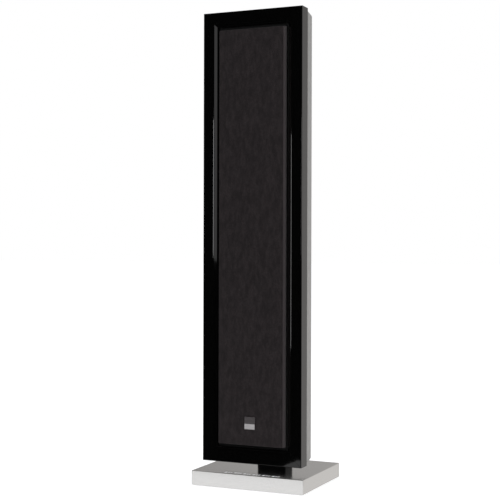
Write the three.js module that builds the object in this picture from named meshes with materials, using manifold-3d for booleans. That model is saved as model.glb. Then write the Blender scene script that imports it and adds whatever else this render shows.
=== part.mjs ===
// A slim floorstanding loudspeaker: a shallow cabinet with a mitred gloss frame and a pull-off cloth
// grille, carried by a column on a solid metal base. Millimetres, +Z up, the front faces -Y, and the
// origin is on the floor under the middle of the base.
import * as THREE from "three";
import { mergeVertices } from "three/addons/utils/BufferGeometryUtils.js";
import Module from "manifold-3d";

const wasm = await Module();
wasm.setup();

// ---- driving dimensions -------------------------------------------------------------------------
const CLEAR = 0.3; // gap left between two pieces that touch

const BASE = { width: 270, depth: 228, thick: 32 };
const PAD = { radius: 12, height: 2, inset: 24 };
const BASE_TOP = PAD.height + BASE.thick;

const CABINET = { width: 240, height: 1010, floatGap: 20, setback: 26 };
const FRONT_Y = -BASE.depth / 2 + CABINET.setback; // the plane of the frame's front
const CABINET_Z = BASE_TOP + CABINET.floatGap; // the underside of the cabinet
const MID_Z = CABINET.height / 2; // the cabinet's middle, counted from its underside

// Depths inside the cabinet are counted backwards from the frame's front plane.
const FRAME = { flat: 25, bevelWidth: 9, bevelDepth: 5.5, wall: 3, depth: 34, lip: 15.7 };
const RAIL_WIDTH = FRAME.flat + FRAME.bevelWidth;
const BAFFLE = { front: 16, back: 31 };
const SHELL = { front: 34.3, back: 93, wall: 4, frontInset: 2.5, backInset: 12.5, endInset: 1.5 };
const LINING_GAP = 0.4; // between the frame's walls and the baffle and gasket inside them
const GASKET_WIDTH = 3;
const BRACE = { z: 555, thick: 6, windowHalf: 70, windowFront: 44, windowBack: 76, notch: [88, 70] };
const DAMPING_PAD = { left: -84, right: 94, front: 79, low: 566, high: 770 };

const GRILLE = { margin: 40, fit: 0.6, front: -5.4, back: 15, bar: 9, draft: 2.5, ribDepth: 9, ribHalf: 4 };
const GRILLE_RIBS = [150, 390, 555, 711]; // heights of the cross ribs above the cabinet's underside
const PEG_HEIGHTS = [120, 555, 945];
const PEG = { x: 75, radius: 3, tip: 26, play: 0.5 };
const CLOTH_THICK = 0.9;
const BADGE = { width: 25, height: 28, z: 92, thick: 1.2 };
const BADGE_STRIPE = { height: 11.6, thick: 0.4, sideInset: 0.3, bottomInset: 0.8 };

// Heights of the drivers and the port above the cabinet's underside.
const CONE_DRIVERS = { midrange: 860, woofer_upper: 635, woofer_lower: 475 };
const TWEETER_Z = 748;
const PORT_Z = 235;

// Where each one sits in the baffle: its rebate's radius and floor, and the radius of the hole.
const CONE_SEAT = [74.8, 19.8, 63.5];
const TWEETER_SEAT = [36.8, 19.8, 26.5];
const PORT_SEAT = [34.8, 18.3, 26];

const BOARD = { left: -98, right: -32, front: 85, thick: 1.6, low: 90, high: 330 };
const COIL = { x: -65, heights: [290, 215], bore: 8, radius: 22, front: 66 };
const CAPACITOR = { x: -52, depth: 73.5, radius: 11, low: 100, high: 158 };

const COLUMN = { width: 70, depth: 42, wall: 3, front: 115, height: 606, blockHeight: 30 };
const COLUMN_MID = COLUMN.front + COLUMN.depth / 2;
const COVER = { thick: 2.5, recess: 0.5, low: 62 };
const CAP = { thick: 3, skirt: 8 };
const MOUNTING_PLATE = { half: 28, thick: 2.5, low: 120, high: 580 };
const BRACKET = { half: 26, height: 56, wall: 3 };
const BRACKET_HEIGHTS = { bracket_lower: 180, bracket_upper: 520 };
const BOLT = { x: 18, radius: 4, headRadius: 7, headHeight: 8, recess: 10.3, play: 0.4, grip: 24 };

const TERMINAL = { x: 68, z: 100, postOffset: 18, floor: 73, floorThick: 2.5, holeRadius: 3.4 };
const TRAY = { width: 50, height: 88, wall: 2.5, flange: 5, flangeThick: 2 };

// ---- materials ----------------------------------------------------------------------------------
const paint = (color, roughness, metalness = 0) =>
  new THREE.MeshStandardMaterial({ color, roughness, metalness });
const MATERIALS = {
  glossBlack: paint(0x050505, 0.08),
  satinBlack: paint(0x141414, 0.45),
  cloth: paint(0x252223, 0.95),
  badgeGrey: paint(0x4e4b4c, 0.4, 0.6),
  badgeSilver: paint(0xc9c7c8, 0.3, 0.8),
  shellSilver: paint(0xa6a5a2, 0.4, 0.3),
  baffle: paint(0x101010, 0.7),
  foam: paint(0x1b1b1d, 0.95),
  castMetal: paint(0x2a2a2c, 0.5, 0.6),
  steel: paint(0x8d8f92, 0.35, 1),
  cone: paint(0x17181a, 0.75),
  rubber: paint(0x0c0c0c, 0.85),
  dome: paint(0xb9bbbd, 0.25, 1),
  gold: paint(0xd0a548, 0.25, 1),
  board: paint(0x1e4a2c, 0.6),
  copper: paint(0xb26a3c, 0.35, 0.9),
  baseMetal: paint(0xd4d4d4, 0.3, 1),
};

// ---- shape helpers ------------------------------------------------------------------------------
function block(x0, x1, y0, y1, z0, z1) {
  const geometry = new THREE.BoxGeometry(x1 - x0, y1 - y0, z1 - z0);
  return geometry.translate((x0 + x1) / 2, (y0 + y1) / 2, (z0 + z1) / 2);
}

// A round bar along Y, from one depth to another, centred on (x, z).
function barY(x, z, radius, from, to, sides = 20) {
  const geometry = new THREE.CylinderGeometry(radius, radius, to - from, sides);
  return geometry.translate(x, (from + to) / 2, z);
}

function barZ(x, y, radius, from, to, sides = 16) {
  const geometry = new THREE.CylinderGeometry(radius, radius, to - from, sides);
  return geometry.rotateX(Math.PI / 2).translate(x, y, (from + to) / 2);
}

// Twice the signed area of an outline of [x, y] points.
function turn(outline) {
  return outline.reduce((sum, [x, y], i) => {
    const [nextX, nextY] = outline[(i + 1) % outline.length];
    return sum + x * nextY - nextX * y;
  }, 0);
}

// A [radius, depth] outline turned about Y. It starts and ends on the axis, or it closes into a ring.
function turned(outline, sides = 24) {
  const ordered = turn(outline) > 0 ? outline : [...outline].reverse();
  const onAxis = outline.some(([radius]) => radius === 0);
  const start = ordered.findIndex(
    ([radius], i) => radius === 0 && ordered.at(i - 1)[0] === 0,
  );
  const path = onAxis
    ? [...ordered.slice(start), ...ordered.slice(0, start)]
    : [...ordered, ordered[0]];
  return new THREE.LatheGeometry(
    path.map(([radius, depth]) => new THREE.Vector2(radius, depth)),
    sides,
  );
}

// A rectangle in X and Z with rounded corners, counter-clockwise as seen from the front.
function roundedRing(halfWidth, halfHeight, radius, depth, steps = 3) {
  const points = [];
  for (let corner = 0; corner < 4; corner++) {
    const signX = corner === 0 || corner === 3 ? 1 : -1;
    const signZ = corner < 2 ? 1 : -1;
    for (let i = 0; i <= steps; i++) {
      const angle = ((corner + i / steps) * Math.PI) / 2;
      points.push(
        new THREE.Vector3(
          signX * (halfWidth - radius) + radius * Math.cos(angle),
          depth,
          signZ * (halfHeight - radius) + radius * Math.sin(angle),
        ),
      );
    }
  }
  return points;
}

// A closed body through rings of equally many points, the first ring at the front.
function loft(rings) {
  const count = rings[0].length;
  const index = [];
  for (let r = 0; r + 1 < rings.length; r++) {
    for (let i = 0; i < count; i++) {
      const next = (i + 1) % count;
      const [a, b] = [r * count + i, r * count + next];
      index.push(a, b, a + count, b, b + count, a + count);
    }
  }
  const last = (rings.length - 1) * count;
  for (let i = 1; i + 1 < count; i++) {
    index.push(0, i + 1, i);
    index.push(last, last + i, last + i + 1);
  }
  const geometry = new THREE.BufferGeometry().setFromPoints(rings.flat());
  geometry.setIndex(index.reverse());
  return geometry;
}

// A closed geometry as a manifold-3d solid, facing out.
function solid(geometry) {
  const bare = geometry.clone();
  bare.deleteAttribute("normal");
  bare.deleteAttribute("uv");
  const merged = mergeVertices(bare, 1e-4);
  return new wasm.Manifold(
    new wasm.Mesh({
      numProp: 3,
      vertProperties: merged.attributes.position.array,
      triVerts: new Uint32Array(merged.index.array),
    }),
  );
}

function shapeOf(manifold) {
  const { vertProperties, triVerts } = manifold.getMesh();
  const geometry = new THREE.BufferGeometry();
  geometry.setAttribute("position", new THREE.BufferAttribute(vertProperties, 3));
  geometry.setIndex(new THREE.BufferAttribute(triVerts, 1));
  return geometry;
}

const cut = (body, tools) =>
  shapeOf(tools.reduce((left, tool) => left.subtract(solid(tool)), solid(body)));
const join = (pieces) =>
  shapeOf(pieces.slice(1).reduce((sum, piece) => sum.add(solid(piece)), solid(pieces[0])));

function mesh(name, geometry, material) {
  const made = new THREE.Mesh(geometry, material);
  made.name = name;
  return made;
}

// ---- cabinet frame: four mitred channel extrusions ------------------------------------------------
// One rail, lying along X with its outer side at z = 0 and its front at y = 0. The outline is
// [distance in from the outer side, depth], and each end is cut back by that distance, at 45 degrees.
function railGeometry(length) {
  const { flat, wall, depth, lip, bevelDepth } = FRAME;
  const edge = 1.2;
  const outline = [
    [edge, 0],
    [flat, 0],
    [RAIL_WIDTH, bevelDepth],
    [RAIL_WIDTH, lip],
    [RAIL_WIDTH - wall, lip],
    [RAIL_WIDTH - wall, bevelDepth + wall / 2],
    [flat - 1.5, wall],
    [wall, wall],
    [wall, depth],
    [0, depth],
    [0, edge],
  ];
  const shape = new THREE.Shape(outline.map(([inward, back]) => new THREE.Vector2(inward, back)));
  const geometry = new THREE.ExtrudeGeometry(shape, { depth: 1, bevelEnabled: false });
  const position = geometry.attributes.position;
  for (let i = 0; i < position.count; i++) {
    const [inward, back, along] = [position.getX(i), position.getY(i), position.getZ(i)];
    const reach = length / 2 - inward - CLEAR / 2;
    position.setXYZ(i, along > 0.5 ? -reach : reach, back, inward);
  }
  return geometry;
}

// The four rails, each turned about the cabinet's middle so that its outer side lies outwards.
function frameRails() {
  const { width, height } = CABINET;
  const rails = [
    ["frame_bottom_rail", width, height / 2, 0],
    ["frame_left_stile", height, width / 2, Math.PI / 2],
    ["frame_top_rail", width, height / 2, Math.PI],
    ["frame_right_stile", height, width / 2, -Math.PI / 2],
  ];
  return rails.map(([name, length, reach, angle]) => {
    const geometry = railGeometry(length).translate(0, 0, -reach);
    const rail = mesh(name, geometry, MATERIALS.glossBlack);
    rail.position.set(0, 0, MID_Z);
    rail.rotation.y = angle;
    return rail;
  });
}

// ---- baffle, gasket and rear shell ----------------------------------------------------------------
const INNER_HALF_WIDTH = CABINET.width / 2 - FRAME.wall - LINING_GAP;
const INNER_HALF_HEIGHT = MID_Z - FRAME.wall - LINING_GAP;
const pegPlaces = PEG_HEIGHTS.flatMap((z) => [-PEG.x, PEG.x].map((x) => [x, z]));

function baffle() {
  const { front, back } = BAFFLE;
  const plate = block(
    -INNER_HALF_WIDTH,
    INNER_HALF_WIDTH,
    front,
    back,
    MID_Z - INNER_HALF_HEIGHT,
    MID_Z + INNER_HALF_HEIGHT,
  );
  const holes = [];
  const seat = (z, rebateRadius, rebateFloor, holeRadius) =>
    holes.push(
      barY(0, z, rebateRadius, front - 1, rebateFloor, 24),
      barY(0, z, holeRadius, front, back + 1, 24),
    );
  Object.values(CONE_DRIVERS).forEach((z) => seat(z, ...CONE_SEAT));
  seat(TWEETER_Z, ...TWEETER_SEAT);
  seat(PORT_Z, ...PORT_SEAT);
  const pegHole = PEG.radius + PEG.play;
  pegPlaces.forEach(([x, z]) => holes.push(barY(x, z, pegHole, front - 1, PEG.tip + 1, 12)));
  return mesh("front_baffle", cut(plate, holes), MATERIALS.baffle);
}

function gasket() {
  const [from, to] = [BAFFLE.back + CLEAR, SHELL.front - CLEAR];
  const outer = [INNER_HALF_WIDTH, INNER_HALF_HEIGHT];
  const inner = outer.map((half) => half - GASKET_WIDTH);
  const ringAt = ([x, z], depth) => roundedRing(x, z, 3, depth, 2);
  const geometry = cut(loft([ringAt(outer, from), ringAt(outer, to)]), [
    loft([ringAt(inner, from - 1), ringAt(inner, to + 1)]),
  ]);
  return mesh("baffle_gasket", geometry.translate(0, 0, MID_Z), MATERIALS.foam);
}

// The shell's half width and half height at a depth: its sides lean in towards the back.
function shellHalf(depth, wall = 0) {
  const share = (depth - SHELL.front) / (SHELL.back - SHELL.front);
  const inset = SHELL.frontInset + share * (SHELL.backInset - SHELL.frontInset);
  return [CABINET.width / 2 - inset - wall, MID_Z - SHELL.endInset * (1 + share) - wall];
}

function rearShell() {
  const { front, back, wall } = SHELL;
  const ringAt = (depth, inward, radius, round = 0) => {
    const [x, z] = shellHalf(depth, inward);
    return roundedRing(x - round, z - round, radius, depth);
  };
  const outer = loft([
    ringAt(front, 0, 4),
    ringAt(back - 6, 0, 7),
    ringAt(back - 1.8, 0, 7, 1.8),
    ringAt(back, 0, 6, 6),
  ]);
  const hollow = loft([ringAt(front - 1, wall, 3), ringAt(back - wall, wall, 4)]);
  const centre = [0, 0, MID_Z];
  const shellCuts = [hollow.translate(...centre)];
  shellCuts.push(
    block(
      TERMINAL.x - TRAY.width / 2 - CLEAR,
      TERMINAL.x + TRAY.width / 2 + CLEAR,
      back - wall - 1,
      back + 1,
      TERMINAL.z - TRAY.height / 2 - CLEAR,
      TERMINAL.z + TRAY.height / 2 + CLEAR,
    ),
  );
  return mesh("rear_shell", cut(outer.translate(...centre), shellCuts), MATERIALS.shellSilver);
}

// A shelf across the shell between the two woofers, with a window for air and a notch for the wires.
function shellBrace() {
  const [x] = shellHalf(SHELL.back, SHELL.wall);
  const { z, thick, windowHalf, windowFront, windowBack } = BRACE;
  const [notchX, notchFront] = BRACE.notch;
  const back = SHELL.back - SHELL.wall - CLEAR;
  const shelf = block(-x, x, BAFFLE.back + CLEAR, back, z - thick / 2, z + thick / 2);
  const window = block(-windowHalf, windowHalf, windowFront, windowBack, z - thick, z + thick);
  const notch = block(-x - 1, -notchX, notchFront, back + 1, z - thick, z + thick);
  return mesh("shell_brace", cut(shelf, [window, notch]), MATERIALS.baffle);
}

function dampingPad() {
  const { left, right, front, low, high } = DAMPING_PAD;
  const back = SHELL.back - SHELL.wall - CLEAR;
  return mesh("damping_pad", block(left, right, front, back, low, high), MATERIALS.foam);
}

// ---- drivers --------------------------------------------------------------------------------------
function basket() {
  const ring = turned([
    [66.5, 15.5],
    [74, 15.5],
    [74, 19.5],
    [62.8, 19.5],
    [39.5, 50],
    [38, 53],
    [19, 53],
    [19, 50],
    [36.5, 50],
    [60.2, 17.7],
    [66.5, 17.7],
  ]);
  const windows = [0, 1, 2].map((i) =>
    block(-13, 13, 27, 45, -80, 80).rotateY((i * Math.PI) / 3),
  );
  return cut(ring, windows);
}

const motor = () =>
  turned(
    [
      [0, 53.3],
      [11.7, 53.3],
      [11.7, 72],
      [14.3, 72],
      [14.3, 53.3],
      [36, 53.3],
      [36, 78],
      [0, 78],
    ],
    20,
  );

// The cone with its voice-coil former and the spider that centres it.
const cone = () =>
  turned([
    [50, 16],
    [50, 17.6],
    [13.5, 35],
    [13.5, 43],
    [34, 43],
    [34, 44],
    [13.5, 44],
    [13.5, 66],
    [12.5, 66],
    [12.5, 33],
  ]);

const surround = () =>
  turned([
    [50.6, 16.4],
    [51.6, 16.4],
    [53, 13.5],
    [56.3, 12.2],
    [59.6, 13.5],
    [61, 16.4],
    [66.2, 16.4],
    [66.2, 17.3],
    [60.2, 17.3],
    [58.9, 14.2],
    [56.3, 13.1],
    [53.7, 14.2],
    [52.3, 17.3],
    [50.6, 17.3],
  ]);

const dustCap = () =>
  turned([
    [0, 20.5],
    [8, 21.4],
    [15, 23.9],
    [21.3, 28.3],
    [20, 28.3],
    [14.4, 25],
    [7.6, 22.5],
    [0, 21.6],
  ]);

function coneDriver(name, z) {
  const pieces = [
    ["basket", basket(), MATERIALS.castMetal],
    ["motor", motor(), MATERIALS.steel],
    ["cone", cone(), MATERIALS.cone],
    ["surround", surround(), MATERIALS.rubber],
    ["dust_cap", dustCap(), MATERIALS.cone],
  ];
  const driver = new THREE.Group();
  driver.position.set(0, 0, z);
  pieces.forEach(([piece, geometry, material]) =>
    driver.add(mesh(`${name}_${piece}`, geometry, material)),
  );
  return driver;
}

function tweeter() {
  const faceplate = turned([
    [36, 15.5],
    [36, 19.5],
    [15, 19.5],
    [15, 18.2],
    [29, 15.5],
  ]);
  const dome = turned([
    [0, 14],
    [6, 14.9],
    [10.5, 16.9],
    [12.6, 19],
    [12.6, 27],
    [12, 27],
    [12, 19.4],
    [9.9, 17.5],
    [5.7, 15.6],
    [0, 14.7],
  ]);
  const magnet = turned(
    [
      [0, 21.5],
      [11.2, 21.5],
      [11.2, 32],
      [13.5, 32],
      [13.5, 20],
      [25, 20],
      [25, 45],
      [0, 45],
    ],
    20,
  );
  const group = new THREE.Group();
  group.position.set(0, 0, TWEETER_Z);
  group.add(mesh("tweeter_faceplate", faceplate, MATERIALS.satinBlack));
  group.add(mesh("tweeter_dome", dome, MATERIALS.dome));
  group.add(mesh("tweeter_motor", magnet, MATERIALS.steel));
  return group;
}

// The sealed can that gives the midrange its own air.
function midChamber() {
  const from = BAFFLE.back + CLEAR;
  const geometry = turned([
    [80, from],
    [80, 86],
    [0, 86],
    [0, 83],
    [77, 83],
    [77, from],
  ]);
  return mesh("mid_chamber", geometry.translate(0, 0, CONE_DRIVERS.midrange), MATERIALS.satinBlack);
}

function portTube() {
  const geometry = turned([
    [34, 15.4],
    [31.5, 15.2],
    [26, 18.5],
    [23.2, 24],
    [22.5, 31],
    [22.5, 80],
    [25, 80],
    [25, 18],
    [34, 18],
  ]);
  return mesh("port_tube", geometry.translate(0, 0, PORT_Z), MATERIALS.satinBlack);
}

// ---- crossover and wiring ---------------------------------------------------------------------------
function crossover() {
  const { left, right, front, thick, low, high } = BOARD;
  const board = block(left, right, front, front + thick, low, high);
  const coilBack = front - CLEAR;
  const coils = COIL.heights.map((z, i) => {
    const ring = turned([
      [COIL.bore, COIL.front],
      [COIL.radius, COIL.front],
      [COIL.radius, coilBack],
      [COIL.bore, coilBack],
    ]);
    return mesh(`crossover_coil_${i + 1}`, ring.translate(COIL.x, 0, z), MATERIALS.copper);
  });
  const can = CAPACITOR;
  const capacitor = barZ(can.x, can.depth, can.radius, can.low, can.high);
  return [
    mesh("crossover_board", board, MATERIALS.board),
    ...coils,
    mesh("crossover_capacitor", capacitor, MATERIALS.glossBlack),
  ];
}

// The wires from the board up to the drivers, tied in one bundle along the shell's side.
function wiringLoom() {
  const [radius, sides] = [3, 8];
  const route = [
    [-75, 78, 322],
    [-84, 80, 345],
    [-94, 80, 380],
    [-94, 80, 470],
    [-94, 80, 560],
    [-94, 80, 660],
    [-92, 76, 720],
    [-70, 66, 742],
    [-32, 60, 748],
  ];
  const path = new THREE.CatmullRomCurve3(route.map((point) => new THREE.Vector3(...point)));
  const round = Array.from({ length: sides }, (_, i) => {
    const angle = (2 * Math.PI * i) / sides;
    return new THREE.Vector2(radius * Math.cos(angle), radius * Math.sin(angle));
  });
  const geometry = new THREE.ExtrudeGeometry(new THREE.Shape(round), {
    steps: 28,
    extrudePath: path,
  });
  return mesh("wiring_loom", geometry, MATERIALS.rubber);
}

// ---- terminals --------------------------------------------------------------------------------------
function terminalPanel() {
  const { x, z, floor, floorThick, postOffset } = TERMINAL;
  const rear = SHELL.back + CLEAR;
  const across = (half, y0, y1) =>
    block(x - half[0], x + half[0], y0, y1, z - half[1], z + half[1]);
  const tub = [TRAY.width / 2, TRAY.height / 2];
  const flange = tub.map((half) => half + TRAY.flange);
  const hollow = tub.map((half) => half - TRAY.wall);
  const body = join([across(tub, floor, rear + 1), across(flange, rear, rear + TRAY.flangeThick)]);
  const postHoles = [-postOffset, postOffset].map((dz) =>
    barY(x, z + dz, TERMINAL.holeRadius, floor - 1, floor + floorThick + 1, 12),
  );
  const tools = [across(hollow, floor + floorThick, rear + 3), ...postHoles];
  return mesh("terminal_panel", cut(body, tools), MATERIALS.satinBlack);
}

// A binding post: the threaded stud with its shoulder and inner nut, the captive clamp washer that
// slides on the stud, and the cap that screws down on the washer.
function bindingPost(number, dz) {
  const stud = turned(
    [
      [0, 66],
      [3, 66],
      [3, 68],
      [5.5, 68],
      [5.5, 72.7],
      [3, 72.7],
      [3, 75.8],
      [6.5, 75.8],
      [6.5, 78.8],
      [3, 78.8],
      [3, 92],
      [0, 92],
    ],
    16,
  );
  const washer = turned(
    [
      [3.4, 79.1],
      [6.5, 79.1],
      [6.5, 80.3],
      [3.4, 80.3],
    ],
    16,
  );
  const cap = turned(
    [
      [3.4, 80.6],
      [7, 80.6],
      [8, 82],
      [8, 92.6],
      [7, 94],
      [3.4, 94],
    ],
    16,
  );
  const post = new THREE.Group();
  post.position.set(TERMINAL.x, 0, TERMINAL.z + dz);
  post.add(mesh(`terminal_post_${number}`, stud, MATERIALS.gold));
  post.add(mesh(`terminal_washer_${number}`, washer, MATERIALS.gold));
  post.add(mesh(`terminal_cap_${number}`, cap, MATERIALS.satinBlack));
  return post;
}

// ---- grille -----------------------------------------------------------------------------------------
function grille() {
  const { margin, fit, front, back, bar, draft, ribDepth, ribHalf } = GRILLE;
  const halfBack = [CABINET.width / 2 - margin - fit, MID_Z - margin - fit];
  const halfFront = halfBack.map((half) => half - draft);
  const ringAt = ([x, z], depth) => roundedRing(x, z, 2, depth, 2);
  const outer = loft([ringAt(halfFront, front), ringAt(halfBack, back)]).translate(0, 0, MID_Z);
  const innerX = halfBack[0] - bar;
  const reach = [MID_Z - halfBack[1] + bar, MID_Z + halfBack[1] - bar];
  const tools = [block(-innerX, innerX, front + ribDepth, back + 1, ...reach)];
  const edges = [reach[0], ...GRILLE_RIBS.flatMap((z) => [z - ribHalf, z + ribHalf]), reach[1]];
  for (let i = 0; i < edges.length; i += 2) {
    tools.push(block(-innerX, innerX, front - 1, back, edges[i], edges[i + 1]));
  }
  const pegs = pegPlaces.map(([x, z]) => barY(x, z, PEG.radius, back - 1, PEG.tip, 12));
  const frame = shapeOf(
    pegs.reduce((sum, peg) => sum.add(solid(peg)), solid(cut(outer, tools))),
  );

  const clothBack = front - CLEAR;
  const clothFront = clothBack - CLOTH_THICK;
  const [clothX, clothZ] = halfFront;
  const cloth = block(-clothX, clothX, clothFront, clothBack, MID_Z - clothZ, MID_Z + clothZ);

  const plateBack = clothFront - CLEAR;
  const plateFront = plateBack - BADGE.thick;
  const low = BADGE.z - BADGE.height / 2;
  const half = BADGE.width / 2;
  const plate = block(-half, half, plateFront, plateBack, low, low + BADGE.height);
  const stripeHalf = half - BADGE_STRIPE.sideInset;
  const stripeBack = plateFront - CLEAR;
  const stripeLow = low + BADGE_STRIPE.bottomInset;
  const stripe = block(
    -stripeHalf,
    stripeHalf,
    stripeBack - BADGE_STRIPE.thick,
    stripeBack,
    stripeLow,
    stripeLow + BADGE_STRIPE.height,
  );
  return [
    mesh("grille_frame", frame, MATERIALS.satinBlack),
    mesh("grille_cloth", cloth, MATERIALS.cloth),
    mesh("badge_plate", plate, MATERIALS.badgeGrey),
    mesh("badge_stripe", stripe, MATERIALS.badgeSilver),
  ];
}

// ---- stand: brackets, column and base -----------------------------------------------------------------
function mountingPlate() {
  const { half, thick, low, high } = MOUNTING_PLATE;
  const front = SHELL.back + CLEAR;
  const plate = block(-half, half, front, front + thick, low, high);
  return mesh("mounting_plate", plate, MATERIALS.steel);
}

// A hat-section bracket between the mounting plate and the column.
function bracket(name, z) {
  const front = SHELL.back + 2 * CLEAR + MOUNTING_PLATE.thick;
  const back = COLUMN.front - CLEAR;
  const { half, height, wall } = BRACKET;
  const body = block(-half, half, front, back, z - height / 2, z + height / 2);
  const hollow = block(
    wall - half,
    half - wall,
    front - 1,
    back - wall,
    z - height / 2 - 1,
    z + height / 2 + 1,
  );
  return mesh(name, cut(body, [hollow]), MATERIALS.steel);
}

function column() {
  const { width, depth, wall, height, blockHeight } = COLUMN;
  const half = width / 2;
  const floor = CLEAR;
  const outline = [
    [-half, 0],
    [half, 0],
    [half, depth],
    [half - wall, depth],
    [half - wall, wall],
    [wall - half, wall],
    [wall - half, depth],
    [-half, depth],
  ];
  const shape = new THREE.Shape(outline.map(([x, y]) => new THREE.Vector2(x, y)));
  const channel = new THREE.ExtrudeGeometry(shape, {
    depth: height - floor,
    bevelEnabled: false,
  }).translate(0, 0, floor);

  const inner = half - wall - CLEAR;
  const coverBack = depth - COVER.recess;
  const coverFront = coverBack - COVER.thick;
  const cover = block(-inner, inner, coverFront, coverBack, COVER.low, height - CLEAR);
  const capLow = height + CLEAR;
  const cap = join([
    block(-half, half, 0, depth, capLow, capLow + CAP.thick),
    block(-inner, inner, wall + CLEAR, coverFront - CLEAR, height - CAP.skirt, capLow + 1),
  ]);
  const footBlock = cut(
    block(-inner, inner, wall + CLEAR, coverFront - 1, floor, floor + blockHeight),
    [-BOLT.x, BOLT.x].map((x) => barZ(x, depth / 2, BOLT.radius + BOLT.play, -1, blockHeight - 3)),
  );
  const group = new THREE.Group();
  group.position.set(0, FRONT_Y + COLUMN.front, BASE_TOP);
  group.add(mesh("column", channel, MATERIALS.satinBlack));
  group.add(mesh("column_cover", cover, MATERIALS.satinBlack));
  group.add(mesh("column_cap", cap, MATERIALS.satinBlack));
  group.add(mesh("column_foot_block", footBlock, MATERIALS.steel));
  return group;
}

// A screw along Z whose head lies in the base's underside: its outline is turned about Y, then stood up.
function columnBolt(number, x) {
  const head = PAD.height + BOLT.recess - CLEAR;
  const end = BASE_TOP + BOLT.grip;
  const geometry = turned(
    [
      [0, head - BOLT.headHeight],
      [BOLT.headRadius, head - BOLT.headHeight],
      [BOLT.headRadius, head],
      [BOLT.radius, head],
      [BOLT.radius, end],
      [0, end],
    ],
    16,
  ).rotateX(Math.PI / 2);
  const bolt = mesh(`column_bolt_${number}`, geometry, MATERIALS.steel);
  bolt.position.set(x, FRONT_Y + COLUMN_MID, 0);
  return bolt;
}

function base() {
  const [x, y] = [BASE.width / 2, BASE.depth / 2];
  const centre = FRONT_Y + COLUMN_MID;
  const plate = block(-x, x, -y, y, PAD.height, BASE_TOP);
  const holes = [-BOLT.x, BOLT.x].flatMap((boltX) => [
    barZ(boltX, centre, BOLT.headRadius + 1, 0, PAD.height + BOLT.recess),
    barZ(boltX, centre, BOLT.radius + BOLT.play, 0, BASE_TOP + 1),
  ]);
  return mesh("base_plate", cut(plate, holes), MATERIALS.baseMetal);
}

function pads() {
  const [x, y] = [BASE.width / 2 - PAD.inset, BASE.depth / 2 - PAD.inset];
  const corners = [
    [-x, -y],
    [x, -y],
    [-x, y],
    [x, y],
  ];
  return corners.map(([padX, padY], i) =>
    mesh(
      `base_pad_${i + 1}`,
      barZ(padX, padY, PAD.radius, 0, PAD.height - CLEAR / 3),
      MATERIALS.rubber,
    ),
  );
}

// ---- assembly -----------------------------------------------------------------------------------------
const cabinet = new THREE.Group();
cabinet.position.set(0, FRONT_Y, CABINET_Z);
cabinet.add(...frameRails(), baffle(), gasket(), rearShell(), shellBrace(), dampingPad());
Object.entries(CONE_DRIVERS).forEach(([name, z]) => cabinet.add(coneDriver(name, z)));
cabinet.add(tweeter(), midChamber(), portTube(), ...crossover(), wiringLoom());
cabinet.add(terminalPanel(), bindingPost(1, TERMINAL.postOffset));
cabinet.add(bindingPost(2, -TERMINAL.postOffset), ...grille(), mountingPlate());
Object.entries(BRACKET_HEIGHTS).forEach(([name, z]) => cabinet.add(bracket(name, z)));

const speaker = new THREE.Group();
speaker.add(cabinet, column(), base(), ...pads(), columnBolt(1, -BOLT.x), columnBolt(2, BOLT.x));

export default speaker;
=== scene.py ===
"""The visual model of a slim floorstanding loudspeaker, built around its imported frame, in metres."""

import math

import bmesh
import bpy
from mathutils import Matrix, Vector
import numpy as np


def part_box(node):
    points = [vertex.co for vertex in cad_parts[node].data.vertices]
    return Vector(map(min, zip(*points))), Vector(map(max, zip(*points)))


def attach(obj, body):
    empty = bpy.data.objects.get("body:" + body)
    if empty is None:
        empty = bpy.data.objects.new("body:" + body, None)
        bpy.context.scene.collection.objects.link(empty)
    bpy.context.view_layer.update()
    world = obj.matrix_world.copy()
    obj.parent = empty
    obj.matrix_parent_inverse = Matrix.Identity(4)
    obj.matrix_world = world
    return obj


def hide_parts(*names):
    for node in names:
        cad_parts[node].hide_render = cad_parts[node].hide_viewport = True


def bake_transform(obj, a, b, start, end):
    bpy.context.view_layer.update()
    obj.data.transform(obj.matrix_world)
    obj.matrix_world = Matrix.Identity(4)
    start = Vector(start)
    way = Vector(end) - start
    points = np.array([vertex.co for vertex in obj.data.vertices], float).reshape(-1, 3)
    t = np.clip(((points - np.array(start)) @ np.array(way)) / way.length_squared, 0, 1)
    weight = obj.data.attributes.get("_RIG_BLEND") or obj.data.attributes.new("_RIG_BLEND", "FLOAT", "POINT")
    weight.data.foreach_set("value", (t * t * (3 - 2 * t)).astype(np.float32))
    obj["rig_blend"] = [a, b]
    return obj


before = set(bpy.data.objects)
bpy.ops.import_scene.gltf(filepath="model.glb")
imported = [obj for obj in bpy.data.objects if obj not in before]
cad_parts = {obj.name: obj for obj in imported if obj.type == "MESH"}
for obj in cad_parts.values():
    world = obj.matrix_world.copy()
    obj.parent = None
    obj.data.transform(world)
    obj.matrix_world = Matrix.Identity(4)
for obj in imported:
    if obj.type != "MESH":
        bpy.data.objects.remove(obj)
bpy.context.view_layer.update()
MM = 0.001

# The cabinet's own reference: the frame's front plane and the cabinet's underside. Outlines give
# millimetres, with depths counted back from the front plane.
FRONT_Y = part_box("frame_left_stile")[0].y
CABINET_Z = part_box("frame_bottom_rail")[0].z
CONE_DRIVERS = ("midrange", "woofer_upper", "woofer_lower")

# ---- camera, light and floor ---------------------------------------------------------------------

CAMERA_PLACE = (1.0749, -2.4657, 0.5405)
CAMERA_TURN = {"yaw": 24.40, "pitch": -0.224, "roll": 0.142}
LENS_MM = 84.55
FLOOR_HALF = 30.0


def linked(name, data):
    """A new object, placed in the scene."""
    made = bpy.data.objects.new(name, data)
    bpy.context.scene.collection.objects.link(made)
    return made


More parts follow.
